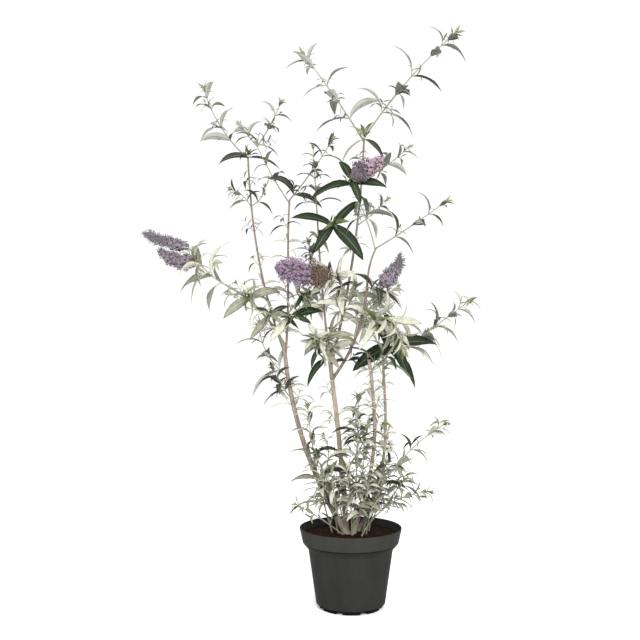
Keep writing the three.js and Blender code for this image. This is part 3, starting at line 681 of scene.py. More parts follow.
def tube(points, ways, radii, sides=6):
    """A closed tube with as many sides, through points with a way and a radius each."""
    ring = 2 * np.pi * np.arange(sides) / sides
    side = unit(np.cross(ways[0], (0.31, 0.87, 0.38)))
    vertices = []
    for point, way, radius in zip(points, ways, radii):
        side = unit(side - way * (side @ way))
        other = np.cross(way, side)
        vertices.append(point + radius * (np.cos(ring)[:, None] * side + np.sin(ring)[:, None] * other))
    quads = []
    for i in range(len(points) - 1):
        for j in range(sides):
            a, b = i * sides + j, i * sides + (j + 1) % sides
            quads.append((a, b, b + sides, a + sides))
    last = (len(points) - 1) * sides
    for j in range(1, sides - 2, 2):
        quads.append((0, j + 2, j + 1, j))
        quads.append((last, last + j, last + j + 1, last + j + 2))
    return np.vstack(vertices), np.array(quads)


def joined(parts):
    """Several (vertices, quads) as one."""
    offsets = np.cumsum([0] + [len(vertices) for vertices, _ in parts[:-1]])
    vertices = np.vstack([vertices for vertices, _ in parts])
    quads = np.vstack([quads + offset for (_, quads), offset in zip(parts, offsets)])
    return vertices, quads


def finish(piece, nodes):
    """The piece rides on the plant and stands for its nodes."""
    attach(piece, "root")
    if nodes:
        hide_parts(*nodes)


def mesh_piece(name, slot, nodes, vertices, faces, materials, kinds=None):
    """A smooth piece from arrays in millimetres; kinds gives each face its material."""
    mesh = bpy.data.meshes.new(name)
    mesh.from_pydata(vertices * MM, (), faces, shade_flat=False)
    for material in materials:
        mesh.materials.append(material)
    if kinds is not None:
        mesh.polygons.foreach_set("material_index", kinds.astype(np.int32))
    mesh.update()
    mesh.validate()
    piece = bpy.data.objects.new(name, mesh)
    bpy.context.scene.collection.objects.link(piece)
    finish(piece, nodes)


def vertices_of(piece):
    """The places of a piece's vertices, in metres."""
    places = np.empty(len(piece.data.vertices) * 3, np.float32)
    piece.data.vertices.foreach_get("co", places)
    return places.reshape(-1, 3)


def move_vertices(piece, places):
    piece.data.vertices.foreach_set("co", places.astype(np.float32).ravel())
    piece.data.update()


# ---------------------------------------------------------------- materials

# What each surface is. shades are factors on its colour, from the dark patches to the light ones,
# feature is the size of the patches, rough the range of roughness, and relief the size and the
# height of a fine bump. stretch draws the patches out along the stem or the wall. Sizes are in
# millimetres. A leaf or floret puts its tint into the braces.
SURFACES = {
    # Injection-moulded recycled polypropylene: satin, with a faint flow pattern and fine grain.
    "pot": dict(
        name="moulded polypropylene", shades=(0.86, 1, 1.12), feature=35, rough=(0.42, 0.58),
        relief=(0.8, 0.05), stretch=(1, 1, 0.35), shader={"IOR": 1.49, "Specular IOR Level": 0.01},
    ),
    # Moist peat-free compost: nearly black crumbs with reddish brown fibre, dull all over.
    "compost": dict(
        name="moist potting compost", shades=(0.45, 1, 2.1), feature=5, rough=(0.75, 1.0),
        relief=(1.6, 0.9), shader={"Specular IOR Level": 0.03},
    ),
    # Bits of composted bark among the crumbs: a lighter reddish brown.
    "chip": dict(
        name="composted bark chip", shades=(0.6, 1, 1.5), feature=3, rough=(0.7, 0.95),
        relief=(0.7, 0.3), shader={"Specular IOR Level": 0.03},
    ),
    # Tan bark of the older stems, which peels in thin grey strips along the stem.
    "bark": dict(
        name="peeling tan bark", shades=(0.55, 1, 1.35), feature=3.2, rough=(0.7, 0.95),
        relief=(1.1, 0.35), stretch=(1, 1, 0.16), shader={"Specular IOR Level": 0.3},
        steps=(0.28, 0.72),
    ),
    # Second-year wood of the boughs: smoother, reddish brown to olive.
    "young_bark": dict(
        name="young reddish bark", shades=(0.65, 1, 1.3), feature=4, rough=(0.6, 0.85),
        relief=(0.8, 0.18), stretch=(1, 1, 0.2), shader={"Specular IOR Level": 0.35},
    ),
    # The pruned end: dry cream wood that has greyed.
    "cut_wood": dict(
        name="weathered cut wood", shades=(0.6, 1), feature=1.5, rough=(0.8, 1.0), relief=(0.5, 0.2)
    ),
    # This year's shoots: olive, with a grey down on them.
    "shoot": dict(
        name="downy green shoot", shades=(0.7, 1, 1.25), feature=9, rough=(0.75, 0.95),
        relief=(0.6, 0.1), shader={"Sheen Weight": 0.3, "Sheen Roughness": 0.6},
    ),
    # The upper face of a leaf is matt and finely netted, and darker between the veins.
    "{}_leaf": dict(
        name="{} leaf upper face", shades=(0.72, 1, 1.28), feature=7, rough=(0.5, 0.68),
        relief=(1.2, 0.16), shader={"Specular IOR Level": 0.18},
    ),
    # The underside is covered in short pale wool, so it has no gloss and a soft bright edge.
    "{}_felt": dict(
        name="{} leaf felted underside", shades=(0.92, 1, 1.06), feature=9, rough=(0.88, 1.0),
        relief=(0.7, 0.05),
        shader={"Sheen Weight": 0.2, "Sheen Roughness": 0.5, "Specular IOR Level": 0.1},
    ),
    # Florets are thin and matt, and old ones dry to brown paper.
    "{}_floret": dict(
        name="{} floret", shades=(0.75, 1, 1.2), feature=2.5, rough=(0.6, 0.85), relief=(0.5, 0.08),
        shader={"Sheen Weight": 0.2},
    ),
    # The orange throat of an open floret.
    "eye": dict(
        name="orange floret eye", shades=(0.8, 1), feature=1, rough=(0.5, 0.7), relief=(0.4, 0.05)
    ),
}
SURFACES["trunk"] = dict(SURFACES["bark"], name="peeling tan trunk")


def linear(code):
    """An sRGB hex colour as linear red, green, blue and alpha."""
    values = [int(code[i : i + 2], 16) / 255 for i in (1, 3, 5)]
    return [v / 12.92 if v <= 0.04045 else ((v + 0.055) / 1.055) ** 2.4 for v in values] + [1.0]


def scaled(colour, factor):
    """A linear colour made lighter or darker."""
    return [channel * factor for channel in colour[:3]] + [1.0]


def mixed(one, other, share):
    return [a + (b - a) * share for a, b in zip(one, other)]


def node(tree, kind, inputs=(), **settings):
    """Adds a shader node. An input is a value, or the socket that feeds it."""
    made = tree.nodes.new("ShaderNode" + kind)
    for key, value in settings.items():
        setattr(made, key, value)
    for key, value in dict(inputs).items():
        if isinstance(value, bpy.types.NodeSocket):
            tree.links.new(value, made.inputs[key])
        else:
            made.inputs[key].default_value = value
    return made


def per_metre(millimetres):
    """A texture's scale for a feature of that many millimetres."""
    return 1000 / millimetres


def mottled(name, colours, feature, rough, relief, stretch=(1, 1, 1), shader=(), steps=(0.3, 0.7)):
    """A surface whose colour drifts between two or three colours in patches, with a fine bump."""
    material = bpy.data.materials.new(name)
    material.use_nodes = True
    tree = material.node_tree
    tree.nodes.clear()
    place = node(tree, "TexCoord").outputs["Object"]
    laid = node(tree, "Mapping", {"Vector": place, "Scale": stretch}).outputs["Vector"]
    patches = {"Vector": laid, "Scale": per_metre(feature), "Detail": 3.0, "Roughness": 0.6}
    ramp = node(tree, "ValToRGB", {"Fac": node(tree, "TexNoise", patches).outputs["Fac"]})
    stops = ramp.color_ramp.elements
    stops[0].position, stops[1].position = steps
    stops[0].color, stops[1].color = colours[0], colours[-1]
    if len(colours) == 3:
        stops.new((steps[0] + steps[1]) / 2).color = colours[1]
    fine = {"Vector": laid, "Scale": per_metre(relief[0]), "Detail": 4.0}
    grain = node(tree, "TexNoise", fine).outputs["Fac"]
    bump = node(tree, "Bump", {"Height": grain, "Distance": relief[1] * MM, "Strength": 1.0})
    dull = node(tree, "MapRange", {"Value": grain, "To Min": rough[0], "To Max": rough[1]})
    look = {
        "Base Color": ramp.outputs["Color"],
        "Roughness": dull.outputs["Result"],
        "Normal": bump.outputs["Normal"],
        **dict(shader),
    }
    shading = node(tree, "BsdfPrincipled", look)
    node(tree, "OutputMaterial", {"Surface": shading.outputs["BSDF"]})
    return material


def user_colour(settings, key):
    return [*getattr(settings, key + "_colour"), 1.0]


def surface(settings, kind, tint=""):
    """The material of a row of SURFACES, in the user's colour for it."""
    row = dict(SURFACES[kind])
    base = user_colour(settings, kind.format(tint))
    colours = [scaled(base, factor) for factor in row.pop("shades")]
    return mottled(row.pop("name").format(tint), colours, **row)


def toned_by_height(material, tones):
    """Scales a material's colour by factors at heights in millimetres, in rising order."""
    tree = material.node_tree
    look = next(n for n in tree.nodes if n.type == "BSDF_PRINCIPLED")
    plain = look.inputs["Base Color"].links[0].from_socket
    place = node(tree, "TexCoord").outputs["Object"]
    height = node(tree, "SeparateXYZ", {"Vector": place}).outputs["Z"]
    top = tones[-1][0]
    share = node(tree, "MapRange", {"Value": height, "From Max": top * MM})
    ramp = node(tree, "ValToRGB", {"Fac": share.outputs["Result"]})
    stops = ramp.color_ramp.elements
    for level, _ in tones[1:-1]:
        stops.new(level / top)
    brightest = max(factor for _, factor in tones)
    for stop, (_, factor) in zip(stops, tones):
        stop.color = scaled((1, 1, 1), factor / brightest)
    tint = node(tree, "VectorMath", {0: plain, 1: ramp.outputs["Color"]}, operation="MULTIPLY")
    lifted = {0: tint.outputs["Vector"], "Scale": brightest}
    lift = node(tree, "VectorMath", lifted, operation="SCALE")
    tree.links.new(lift.outputs["Vector"], look.inputs["Base Color"])


def pot_plastic(settings):
    """The pot's plastic, with painted light on its band, and painted shade in its recessed foot, on the
    shelf under the band and in a line at the band's foot.
    """
    foot, shelf, band = POT["foot_height"], POT["neck_height"], POT["band_foot"]
    # Painted shade: the recessed foot and a thin line just under the band's foot are darkened to this share.
    painted_shade = 0.3
    # Painted light: the band, from its foot to the rim, is made this much lighter than the wall.
    painted_light = 1.3
    tones = (
        (0, painted_shade),
        (foot + 0.2, painted_shade),
        (foot + 1.5, 1.0),
        # Painted shade on the shelf under the band, darker towards the band.
        (shelf, 0.95),
        (band - 3.5, 0.8),
        (band - 1.6, painted_shade),
        (band - 0.6, painted_shade),
        (band + 1, painted_light),
        (POT["height"], painted_light),
    )
    plastic = surface(settings, "pot")
    toned_by_height(plastic, tones)
    return plastic


def leaf_faces(settings, tint):
    """The upper face, the felted underside and the rib of one tint of leaf."""
    upper, felt = user_colour(settings, tint + "_leaf"), user_colour(settings, tint + "_felt")
    # The midrib is a paler line on the upper face and stands out below.
    shades = [scaled(mixed(upper, felt, 0.2), 0.9), mixed(upper, felt, 0.34)]
    rib = mottled(tint + " leaf midrib", shades, feature=6, rough=(0.6, 0.8), relief=(0.8, 0.08))
    return [surface(settings, "{}_leaf", tint), surface(settings, "{}_felt", tint), rib]


# ---------------------------------------------------------------- settings


def colour(name, description, code):
    return bpy.props.FloatVectorProperty(
        name=name, description=description, default=linear(code)[:3], subtype="COLOR", size=3, min=0, max=1
    )


def measure(name, description, millimetres):
    return bpy.props.FloatProperty(
        name=name, description=description, default=millimetres * MM, unit="LENGTH"
    )


class BushSettings(bpy.types.PropertyGroup):
    """Sizes and colours that a user may change before making the pieces."""

    rim_diameter: measure("Rim diameter", "Outer diameter of the pot at its rim", 2 * POT["rim_radius"])
    leaf_thickness: measure("Leaf thickness", "Thickness of a leaf along its midrib", 0.6)
    floret_size: measure("Floret size", "Width of one open floret", 7.4)
    leaf_width_share: bpy.props.FloatProperty(
        name="Leaf width",
        description="Width of a leaf over its length",
        default=LEAF["width_share"],
        min=0.1,
        max=0.4,
    )
    pot_colour: colour("Pot", "Recycled dark grey plastic", "#282827")
    compost_colour: colour("Compost", "Moist compost", "#1f140e")
    chip_colour: colour("Bark chips", "Composted bark in the compost", "#331b10")
    bark_colour: colour("Old bark", "Bark of the stems", "#7f746b")
    trunk_colour: colour("Trunk bark", "Bark of the trunk", "#8b8171")
    young_bark_colour: colour("Young bark", "Bark of the boughs", "#6c6057")
    cut_wood_colour: colour("Cut wood", "Face of the pruned end", "#98876c")
    shoot_colour: colour("Shoots", "This year's shoots", "#6e7058")
    dark_leaf_colour: colour("Dark leaves", "Upper face of the broad leaves", "#1a2611")
    dark_felt_colour: colour("Dark leaves, below", "Underside of the broad leaves", "#6c7660")
    green_leaf_colour: colour("Green leaves", "Upper face of the low leaves", "#767767")
    green_felt_colour: colour("Green leaves, below", "Underside of the low leaves", "#a9a998")
    grey_leaf_colour: colour("Grey leaves", "Upper face of the top leaves", "#2f3229")
    grey_felt_colour: colour("Grey leaves, below", "Underside of the top leaves", "#909188")
    shade_leaf_colour: colour("Old leaves", "Upper face of the oldest narrow leaves", "#272b20")
    shade_felt_colour: colour("Old leaves, below", "Underside of the oldest narrow leaves", "#5a5d52")
    pale_leaf_colour: colour("Pale leaves", "Upper face of the felted leaves", "#a3a394")
    pale_felt_colour: colour("Pale leaves, below", "Underside of the felted leaves", "#b6b6a6")
    young_leaf_colour: colour("Young leaves", "Upper face of the youngest leaves", "#525a35")
    young_felt_colour: colour("Young leaves, below", "Underside of the youngest leaves", "#7f845f")
    lilac_floret_colour: colour("Lilac florets", "Fresh florets", "#796380")
    mauve_floret_colour: colour("Mauve florets", "Florets past their best", "#716877")
    pink_floret_colour: colour("Pink florets", "Florets of the top spike", "#917988")
    faded_floret_colour: colour("Faded florets", "Dry brown florets", "#554029")
    bud_floret_colour: colour("Flower buds", "Closed buds at a spike's tip", "#78787d")
    # Grey closed buds made darker than the bud colour: painted shade on the tip of the right spike.
    husk_floret_colour: colour("Flower husks", "Dry closed husks at a spike's tip", "#59595b")
    calyx_floret_colour: colour("Calyces", "Stalks and calyces behind fresh florets", "#4a4248")
    straw_floret_colour: colour("Dry throats", "Throat of a dry floret", "#7a5c3c")
    withered_floret_colour: colour("Withered calyces", "Stalks behind dry florets", "#322218")
    eye_colour: colour("Floret eye", "Throat of an open floret", "#8e6a50")


# ---------------------------------------------------------------- pot and compost


def deselect_all():
    if bpy.context.object and bpy.context.object.mode != "OBJECT":
        bpy.ops.object.mode_set(mode="OBJECT")
    bpy.ops.object.select_all(action="DESELECT")


def select_only(piece):
    deselect_all()
    bpy.context.view_layer.objects.active = piece
    piece.select_set(True)


def lathe(name, profile, sides):
    """Turns a profile of (radius, height) in millimetres: a disc is extruded and widened ring by ring.

    The profile starts and ends near the axis, and its last ring is filled.
    """
    deselect_all()
    radius, height = profile[0]
    bpy.ops.mesh.primitive_circle_add(
        vertices=sides, radius=radius * MM, fill_type="NGON", location=(0, 0, height * MM)
    )
    piece = bpy.context.object
    piece.name = piece.data.name = name
    bpy.ops.object.transform_apply(location=True)
    bpy.ops.object.mode_set(mode="EDIT")
    bpy.ops.mesh.select_all(action="SELECT")
    bpy.ops.mesh.flip_normals()
    bpy.ops.mesh.select_mode(type="EDGE")
    bpy.ops.mesh.region_to_loop()
    for next_radius, next_height in profile[1:]:
        rise = (next_height - height) * MM
        bpy.ops.mesh.extrude_edges_move(TRANSFORM_OT_translate={"value": (0, 0, rise)})
        factor = next_radius / radius
        bpy.ops.transform.resize(value=(factor, factor, 1), center_override=(0, 0, next_height * MM))
        radius, height = next_radius, next_height
    bpy.ops.mesh.edge_face_add()
    bpy.ops.mesh.select_all(action="SELECT")
    bpy.ops.mesh.normals_make_consistent(inside=False)
    bpy.ops.object.mode_set(mode="OBJECT")
    return piece


def rounded(profile, radius, steps=3):
    """The profile with each corner between its ends rounded to about that radius."""
    points = [np.array(p, float) for p in profile]
    made = [points[0]]
    for before, corner, after in zip(points, points[1:], points[2:]):
        reach = min(radius, 0.4 * np.linalg.norm(corner - before), 0.4 * np.linalg.norm(after - corner))
        start = corner + unit(before - corner) * reach
        end = corner + unit(after - corner) * reach
        for t in np.linspace(0, 1, steps + 1):
            made.append(start * (1 - t) ** 2 + corner * 2 * t * (1 - t) + end * t**2)
    return [tuple(p) for p in made + [points[-1]]]


def inner_wall(inset=0):
    """The pot's inner wall from its floor to its rim, as (radius, height)."""
    w = POT["wall"] + inset
    return [
        (POT["foot_radius"] - w, POT["base"] + inset),
        (POT["foot_radius"] - w, POT["foot_height"] + w),
        (POT["wall_foot_radius"] - w, POT["foot_height"] + w + 0.6),
        (POT["neck_radius"] - w, POT["neck_height"] + 1),
        (POT["band_radius"] - w, POT["band_foot"] + 1),
        (POT["rim_radius"] - w, POT["height"]),
    ]


class BUSH_OT_pot(bpy.types.Operator):
    """Makes the moulded pot with its thick band, its recessed foot and its drainage notches"""

    bl_idname = "bush.pot"
    bl_label = "Pot"

    edge_rounding = 0.9
    crease_angle = math.radians(32)
    middle_radius = 6  # the profile's ends, which are filled

    def execute(self, context):
        settings = context.scene.bush
        outer = [
            (self.middle_radius, 0),
            (POT["foot_radius"] - 3, 0),
            (POT["foot_radius"], 0.8),
            (POT["foot_radius"], POT["foot_height"]),
            (POT["wall_foot_radius"], POT["foot_height"] + 0.6),
            (POT["neck_radius"], POT["neck_height"]),
            (POT["band_radius"], POT["band_foot"]),
            (POT["rim_radius"], POT["height"] - 1.5),
            (POT["rim_radius"] - 0.6, POT["height"]),
        ]
        inner = [*reversed(inner_wall()), (self.middle_radius, POT["base"])]
        profile = rounded(outer + inner, self.edge_rounding)
        pot = lathe("pot_body", profile, sides=96)
        notches = self.notches()
        cut = pot.modifiers.new("drainage", "BOOLEAN")
        cut.operation, cut.object, cut.solver = "DIFFERENCE", notches, "EXACT"
        select_only(pot)
        bpy.ops.object.modifier_apply(modifier="drainage")
        bpy.data.objects.remove(notches)
        growth = settings.rim_diameter / (2 * POT["rim_radius"] * MM)
        bpy.ops.transform.resize(value=(growth, growth, growth), center_override=(0, 0, 0))
        bpy.ops.object.transform_apply(scale=True)
        bpy.ops.object.shade_smooth_by_angle(angle=self.crease_angle)
        pot.data.materials.append(pot_plastic(settings))
        finish(pot, ["pot"])
        return {"FINISHED"}

    def notches(self):
        """One mesh of blocks, one for each gap in the foot."""
        deselect_all()
        blocks = []
        for i in range(DRAIN["count"]):
            angle = 2 * math.pi * (i + 0.5) / DRAIN["count"]
            place = direction(math.degrees(angle), 90) * POT["foot_radius"] * MM
            size = (DRAIN["depth"] * MM, DRAIN["width"] * MM, 2 * DRAIN["height"] * MM)
            bpy.ops.mesh.primitive_cube_add(size=1, location=place, rotation=(0, 0, angle), scale=size)
            blocks.append(bpy.context.object)
        for block in blocks:
            block.select_set(True)
        bpy.ops.object.join()
        return bpy.context.object


class BUSH_OT_compost(bpy.types.Operator):
    """Fills the pot with compost whose top is uneven, with crumbs and bark chips on it"""

    bl_idname = "bush.compost"
    bl_label = "Compost"

    # What lies on the compost: how many, from how small to how large, and a seed.
    crumbs = 1500, (1.2, 3.4), 3
    chips = 170, (2.2, 5.5), 5

    def execute(self, context):
        settings = context.scene.bush
        wall = inner_wall(GAP)
        neck, band = wall[-2], wall[-1]
        rise = COMPOST["height"] - COMPOST["edge_drop"]
        edge = neck[0] + (band[0] - neck[0]) * (rise - neck[1]) / (band[1] - neck[1])
        top = []
        rings = 42
        for radius in np.linspace(edge, 2, rings):
            share = min(1, (edge - radius) / (edge - COMPOST["flat_radius"]))
            top.append((radius, rise + COMPOST["edge_drop"] * share))
        fill = lathe("compost_fill", [(6, wall[0][1]), *wall[:-1], *top], sides=120)
        self.roughen(fill)
        peat = surface(settings, "compost")
        fill.data.materials.append(peat)
        bpy.ops.object.shade_smooth()
        finish(fill, ["compost"])
        self.scatter("compost_crumbs", *self.crumbs, edge, peat)
        self.scatter("compost_bark_chips", *self.chips, edge, surface(settings, "chip"))
        return {"FINISHED"}

    def height_at(self, x, y):
        """Unevenness of the compost in millimetres, at places in millimetres."""
        waves = 0
        for k in range(1, 7):
            angle = 2.4 * k
            along = x * np.cos(angle) + y * np.sin(angle)
            waves = waves + np.sin(along / (19 / k) + 1.7 * k + 2 * np.sin(y / 23 + k)) / (k + 1)
        return 1.3 * waves

    def roughen(self, fill):
        """Makes the top of the compost uneven."""
        places = vertices_of(fill)
        on_top = places[:, 2] > (COMPOST["height"] - COMPOST["edge_drop"] - 0.5) * MM
        x, y = places[on_top, 0] / MM, places[on_top, 1] / MM
        centre = 1 - np.exp(-np.hypot(x, y) / 6)
        places[on_top, 2] += self.height_at(x, y) * centre * MM
        move_vertices(fill, places)

    def scatter(self, name, count, sizes, seed, edge, material):
        """Small eight-faced lumps scattered over the compost."""
        shape = np.array([(1, 0, 0), (-1, 0, 0), (0, 1, 0), (0, -1, 0), (0, 0, 1), (0, 0, -1)], float)
        faces = [(0, 2, 4), (2, 1, 4), (1, 3, 4), (3, 0, 4), (2, 0, 5), (1, 2, 5), (3, 1, 5), (0, 3, 5)]
        vertices, triangles = [], []
        for i in range(count):
            radius = (edge - 3) * math.sqrt(luck(seed, i))
            angle = 2 * math.pi * luck(seed + 1, i)
            x, y = radius * math.cos(angle), radius * math.sin(angle)
            size = mix(sizes, luck(seed + 2, i) ** 2) / 2
            spread = np.array([0.7 + 0.9 * luck(seed + 3, 6 * i + k) for k in range(6)])[:, None]
            squash = np.array([1, 0.6 + 0.4 * luck(seed + 4, i), 0.6])
            lump = turned(shape * spread * squash * size, np.array([0.0, 0, 1]), 360 * luck(seed + 5, i))
            share = min(1, (edge - radius) / (edge - COMPOST["flat_radius"]))
            level = COMPOST["height"] - COMPOST["edge_drop"] * (1 - share) + self.height_at(x, y)
            vertices.append(lump + np.array([x, y, level + 0.35 * size]))
            triangles.append(np.array(faces) + 6 * i)
        mesh_piece(name, "compost", (), np.vstack(vertices), np.vstack(triangles), [material])


# ---------------------------------------------------------------- stems and boughs


class BUSH_OT_limbs(bpy.types.Operator):
    """Makes the trunk, stems and boughs as tapering limbs with bark, knuckles and a pruned end"""

    bl_idname = "bush.limbs"
    bl_label = "Trunk, stems and boughs"

    pruned = "stem_right_front"
    step = 2.6  # distance between the rings of a limb
    ridges = ((3, 0.24), (5, 0.2), (7, 0.16), (9, 0.12))  # waves round the bark and their heights

    def execute(self, context):
        settings = context.scene.bush
        barks = {kind: surface(settings, kind) for kind in ("bark", "trunk", "young_bark", "shoot")}
        wood = surface(settings, "cut_wood")
        for seed, (name, path) in enumerate(grow_limbs().items()):
            old = "foot" in LIMBS[name]
            limb = self.limb(name + "_bark", self.stations(path, old, name == self.pruned))
            self.relief(limb, path, seed, 1.0 if old else 0.5)
            kind = {"trunk": "trunk", "bough_left": "shoot"}.get(name, "bark" if old else "young_bark")
            limb.data.materials.append(barks[kind])
            limb.data.materials.append(wood)
            if name == self.pruned:
                self.dress_cut(limb, path)
            finish(limb, [name])
        return {"FINISHED"}

    def stations(self, path, old, cut):
        """Places and radii along a limb, with a swollen foot or collar and a rounded end."""
        made = []
        count = round(path.length / self.step)
        for i in range(count + 1):
            distance = path.length * i / count
            point, way = path.smooth(distance)
            radius = mix(path.width, distance / path.length) / 2
            if old:
                radius *= 1 + FLARE["share"] * math.exp(-(point[2] - GROUND) / FLARE["reach"])
            else:
                radius *= 1 + COLLAR["share"] * math.exp(-distance / COLLAR["reach"])
            made.append((point, way, radius))
        if old:
            point, way, radius = made[0]
            made.insert(0, (point - way * SUNK / way[2], way, radius * 1.1))
        if not cut:
            point, way, radius = made[-1]
            for degrees in (35, 62, 82):
                angle = math.radians(degrees)
                made.append((point + way * radius * math.sin(angle), way, radius * math.cos(angle)))
        return made

    def limb(self, name, stations):
        """A curve with a radius at each point, made a mesh."""
        deselect_all()
        bpy.ops.curve.primitive_nurbs_path_add()
        limb = bpy.context.object
        limb.name = limb.data.name = name
        line = limb.data
        line.splines.clear()
        spline = line.splines.new("POLY")
        spline.points.add(len(stations) - 1)
        places = np.array([[*(point * MM), 1] for point, _, _ in stations])
        spline.points.foreach_set("co", places.ravel())
        spline.points.foreach_set("radius", [radius for _, _, radius in stations])
        line.dimensions = "3D"
        line.twist_mode = "MINIMUM"
        line.bevel_depth = MM
        line.bevel_resolution = 4
        line.use_fill_caps = True
        bpy.ops.object.convert(target="MESH")
        bpy.ops.object.mode_set(mode="EDIT")
        bpy.ops.mesh.select_all(action="SELECT")
        bpy.ops.mesh.remove_doubles(threshold=0.01 * MM)
        bpy.ops.mesh.normals_make_consistent(inside=False)
        bpy.ops.object.mode_set(mode="OBJECT")
        bpy.ops.object.shade_smooth()
        return bpy.context.object

    def relief(self, limb, path, seed, depth):
        """Ridges along the bark, swollen nodes with a pair of bud scars, and lumps at the foot."""
        co = vertices_of(limb).astype(float) / MM
        samples = np.linspace(0, path.length, 400)
        line, ways = (np.array(found) for found in zip(*(path.smooth(s) for s in samples)))
        nearest = np.argmin(np.linalg.norm(co[:, None] - line[None], axis=2), axis=1)
        distance, way = samples[nearest], ways[nearest]
        radial = co - line[nearest]
        radial -= way * np.sum(radial * way, axis=1, keepdims=True)
        size = np.linalg.norm(radial, axis=1)
        side = unit(np.cross(way, (0, 1, 0)))
        angle = np.arctan2(np.sum(radial * np.cross(way, side), axis=1), np.sum(radial * side, axis=1))
        ridges = np.zeros(len(co))
        for k, height in self.ridges:
            phase = 6.28 * luck(seed + 70, k)
            ridges += height * np.sin(k * angle + phase + 1.6 * np.sin(distance / (9 + 4 * k) + phase))
        gap = LIMB_NODE_GAP * 0.5
        from_node = (distance + gap / 2) % gap - gap / 2
        order = np.round(distance / gap)
        ring = np.exp(-((from_node / 1.6) ** 2))
        facing = np.maximum(np.cos(2 * (angle + order * math.pi / 2)), 0) ** 4
        scar = np.exp(-((from_node / 2.6) ** 2)) * facing
        lumps = np.exp(-distance / 14) * np.sin(2 * angle + seed) * 0.8
        move = depth * (ridges * np.minimum(1, size / 4) + 0.25 * ring + 0.6 * scar + lumps)
        inside = size > 0.6 * np.interp(distance, (0, path.length), path.width) / 2
        co += unit(radial) * (move * inside)[:, None]
        move_vertices(limb, co * MM)

    def dress_cut(self, limb, path):
        """Sinks the wood of the pruned end a little inside its ring of bark."""
        _, way = path.smooth(path.length)
        select_only(limb)
        mesh = limb.data
        on_end = [Vector(face.normal).dot(Vector(way)) > 0.95 for face in mesh.polygons]
        corners = {i for face, chosen in zip(mesh.polygons, on_end) if chosen for i in face.vertices}
        mesh.polygons.foreach_set("select", on_end)
        mesh.edges.foreach_set("select", [False] * len(mesh.edges))
        mesh.vertices.foreach_set("select", [i in corners for i in range(len(mesh.vertices))])
        bpy.ops.object.mode_set(mode="EDIT")
        bpy.ops.mesh.select_mode(type="FACE")
        bpy.ops.mesh.inset(thickness=0.6 * MM, depth=-0.4 * MM)
        limb.active_material_index = 1
        bpy.ops.object.material_slot_assign()
        bpy.ops.object.mode_set(mode="OBJECT")


# ---------------------------------------------------------------- shoots, leaves and flowers


def shoot_tube(path, nodes=(), sunk=0):
    """A shoot with a slight swelling where each pair of leaves stands."""
    distances = [0.0]
    for at in nodes:
        distances += [at - 3, at, at + 3]
    distances += list(np.arange(0, path.length, 9)) + [path.length]
    distances = np.unique(np.clip(np.round(distances, 2), 0, path.length))
    distances = distances[np.append(True, np.diff(distances) > 0.8)]
    points, ways = (np.array(found) for found in zip(*(path.smooth(d) for d in distances)))
    radii = np.interp(distances, (0, path.length), path.width) / 2
    for at in nodes:
        radii *= 1 + 0.3 * np.exp(-(((distances - at) / 1.5) ** 2))
    if sunk:
        points = np.vstack([points[0] - ways[0] * sunk, points])
        ways = np.vstack([ways[0], ways])
        radii = np.append(radii[0] * 1.25, radii)
    points = np.vstack([points, points[-1] + ways[-1] * 0.8])
    ways = np.vstack([ways, ways[-1]])
    return tube(points, ways, np.append(radii, 0.15))


class BUSH_OT_shoots(bpy.types.Operator):
    """Makes this year's shoots, and the side shoots in their leaf axils and on the limbs"""

    bl_idname = "bush.shoots"
    bl_label = "Shoots"

    def execute(self, context):
        limbs = grow_limbs()
        main, side = [], []
        for shoot in grow_shoots(limbs):
            sunk = SUNK if "foot" in shoot["plan"] else 0
            main.append(shoot_tube(shoot["path"], node_distances(shoot), sunk))
            side += [shoot_tube(twig) for twig in axil_growth(shoot)[0]]
        side += [shoot_tube(twig) for twig in limb_growth(limbs)[0]]
        skin = [surface(context.scene.bush, "shoot")]
        mesh_piece("shoots", "bark", MASS_NODES, *joined(main), skin)
        mesh_piece("side_shoots", "bark", MASS_NODES, *joined(side), skin)
        return {"FINISHED"}


class BUSH_OT_leaves(bpy.types.Operator):
    """Makes the leaves: long ones in pairs up the shoots, and small ones on the side shoots"""

    bl_idname = "bush.leaves"
    bl_label = "Leaves"

    # Each kind of leaf: its steps along, and its lines of vertices across from edge to edge.
    meshes = {"leaves": (8, (-1, -0.5, -0.08, 0.08, 0.5, 1)), "small_leaves": (6, (-1, 0, 1))}

    def execute(self, context):
        settings = context.scene.bush
        limbs = grow_limbs()
        grown = {"leaves": [], "small_leaves": limb_growth(limbs)[1]}
        for shoot in grow_shoots(limbs):
            grown["leaves"] += pair_leaves(shoot)
            grown["small_leaves"] += axil_growth(shoot)[1]
        grown = {kind: clear_of_limbs(rows, limbs) for kind, rows in grown.items()}
        sizes = settings.leaf_width_share, settings.leaf_thickness / MM
        for tint in TINTS:
            faces = leaf_faces(settings, tint)
            for kind, rows in grown.items():
                chosen = [row for row in rows if row["tint"] == tint]
                if chosen:
                    vertices, quads, kinds = blades(chosen, *self.meshes[kind], *sizes)
                    mesh_piece(f"{tint}_{kind}", "foliage", MASS_NODES, vertices, quads, faces, kinds)
        return {"FINISHED"}


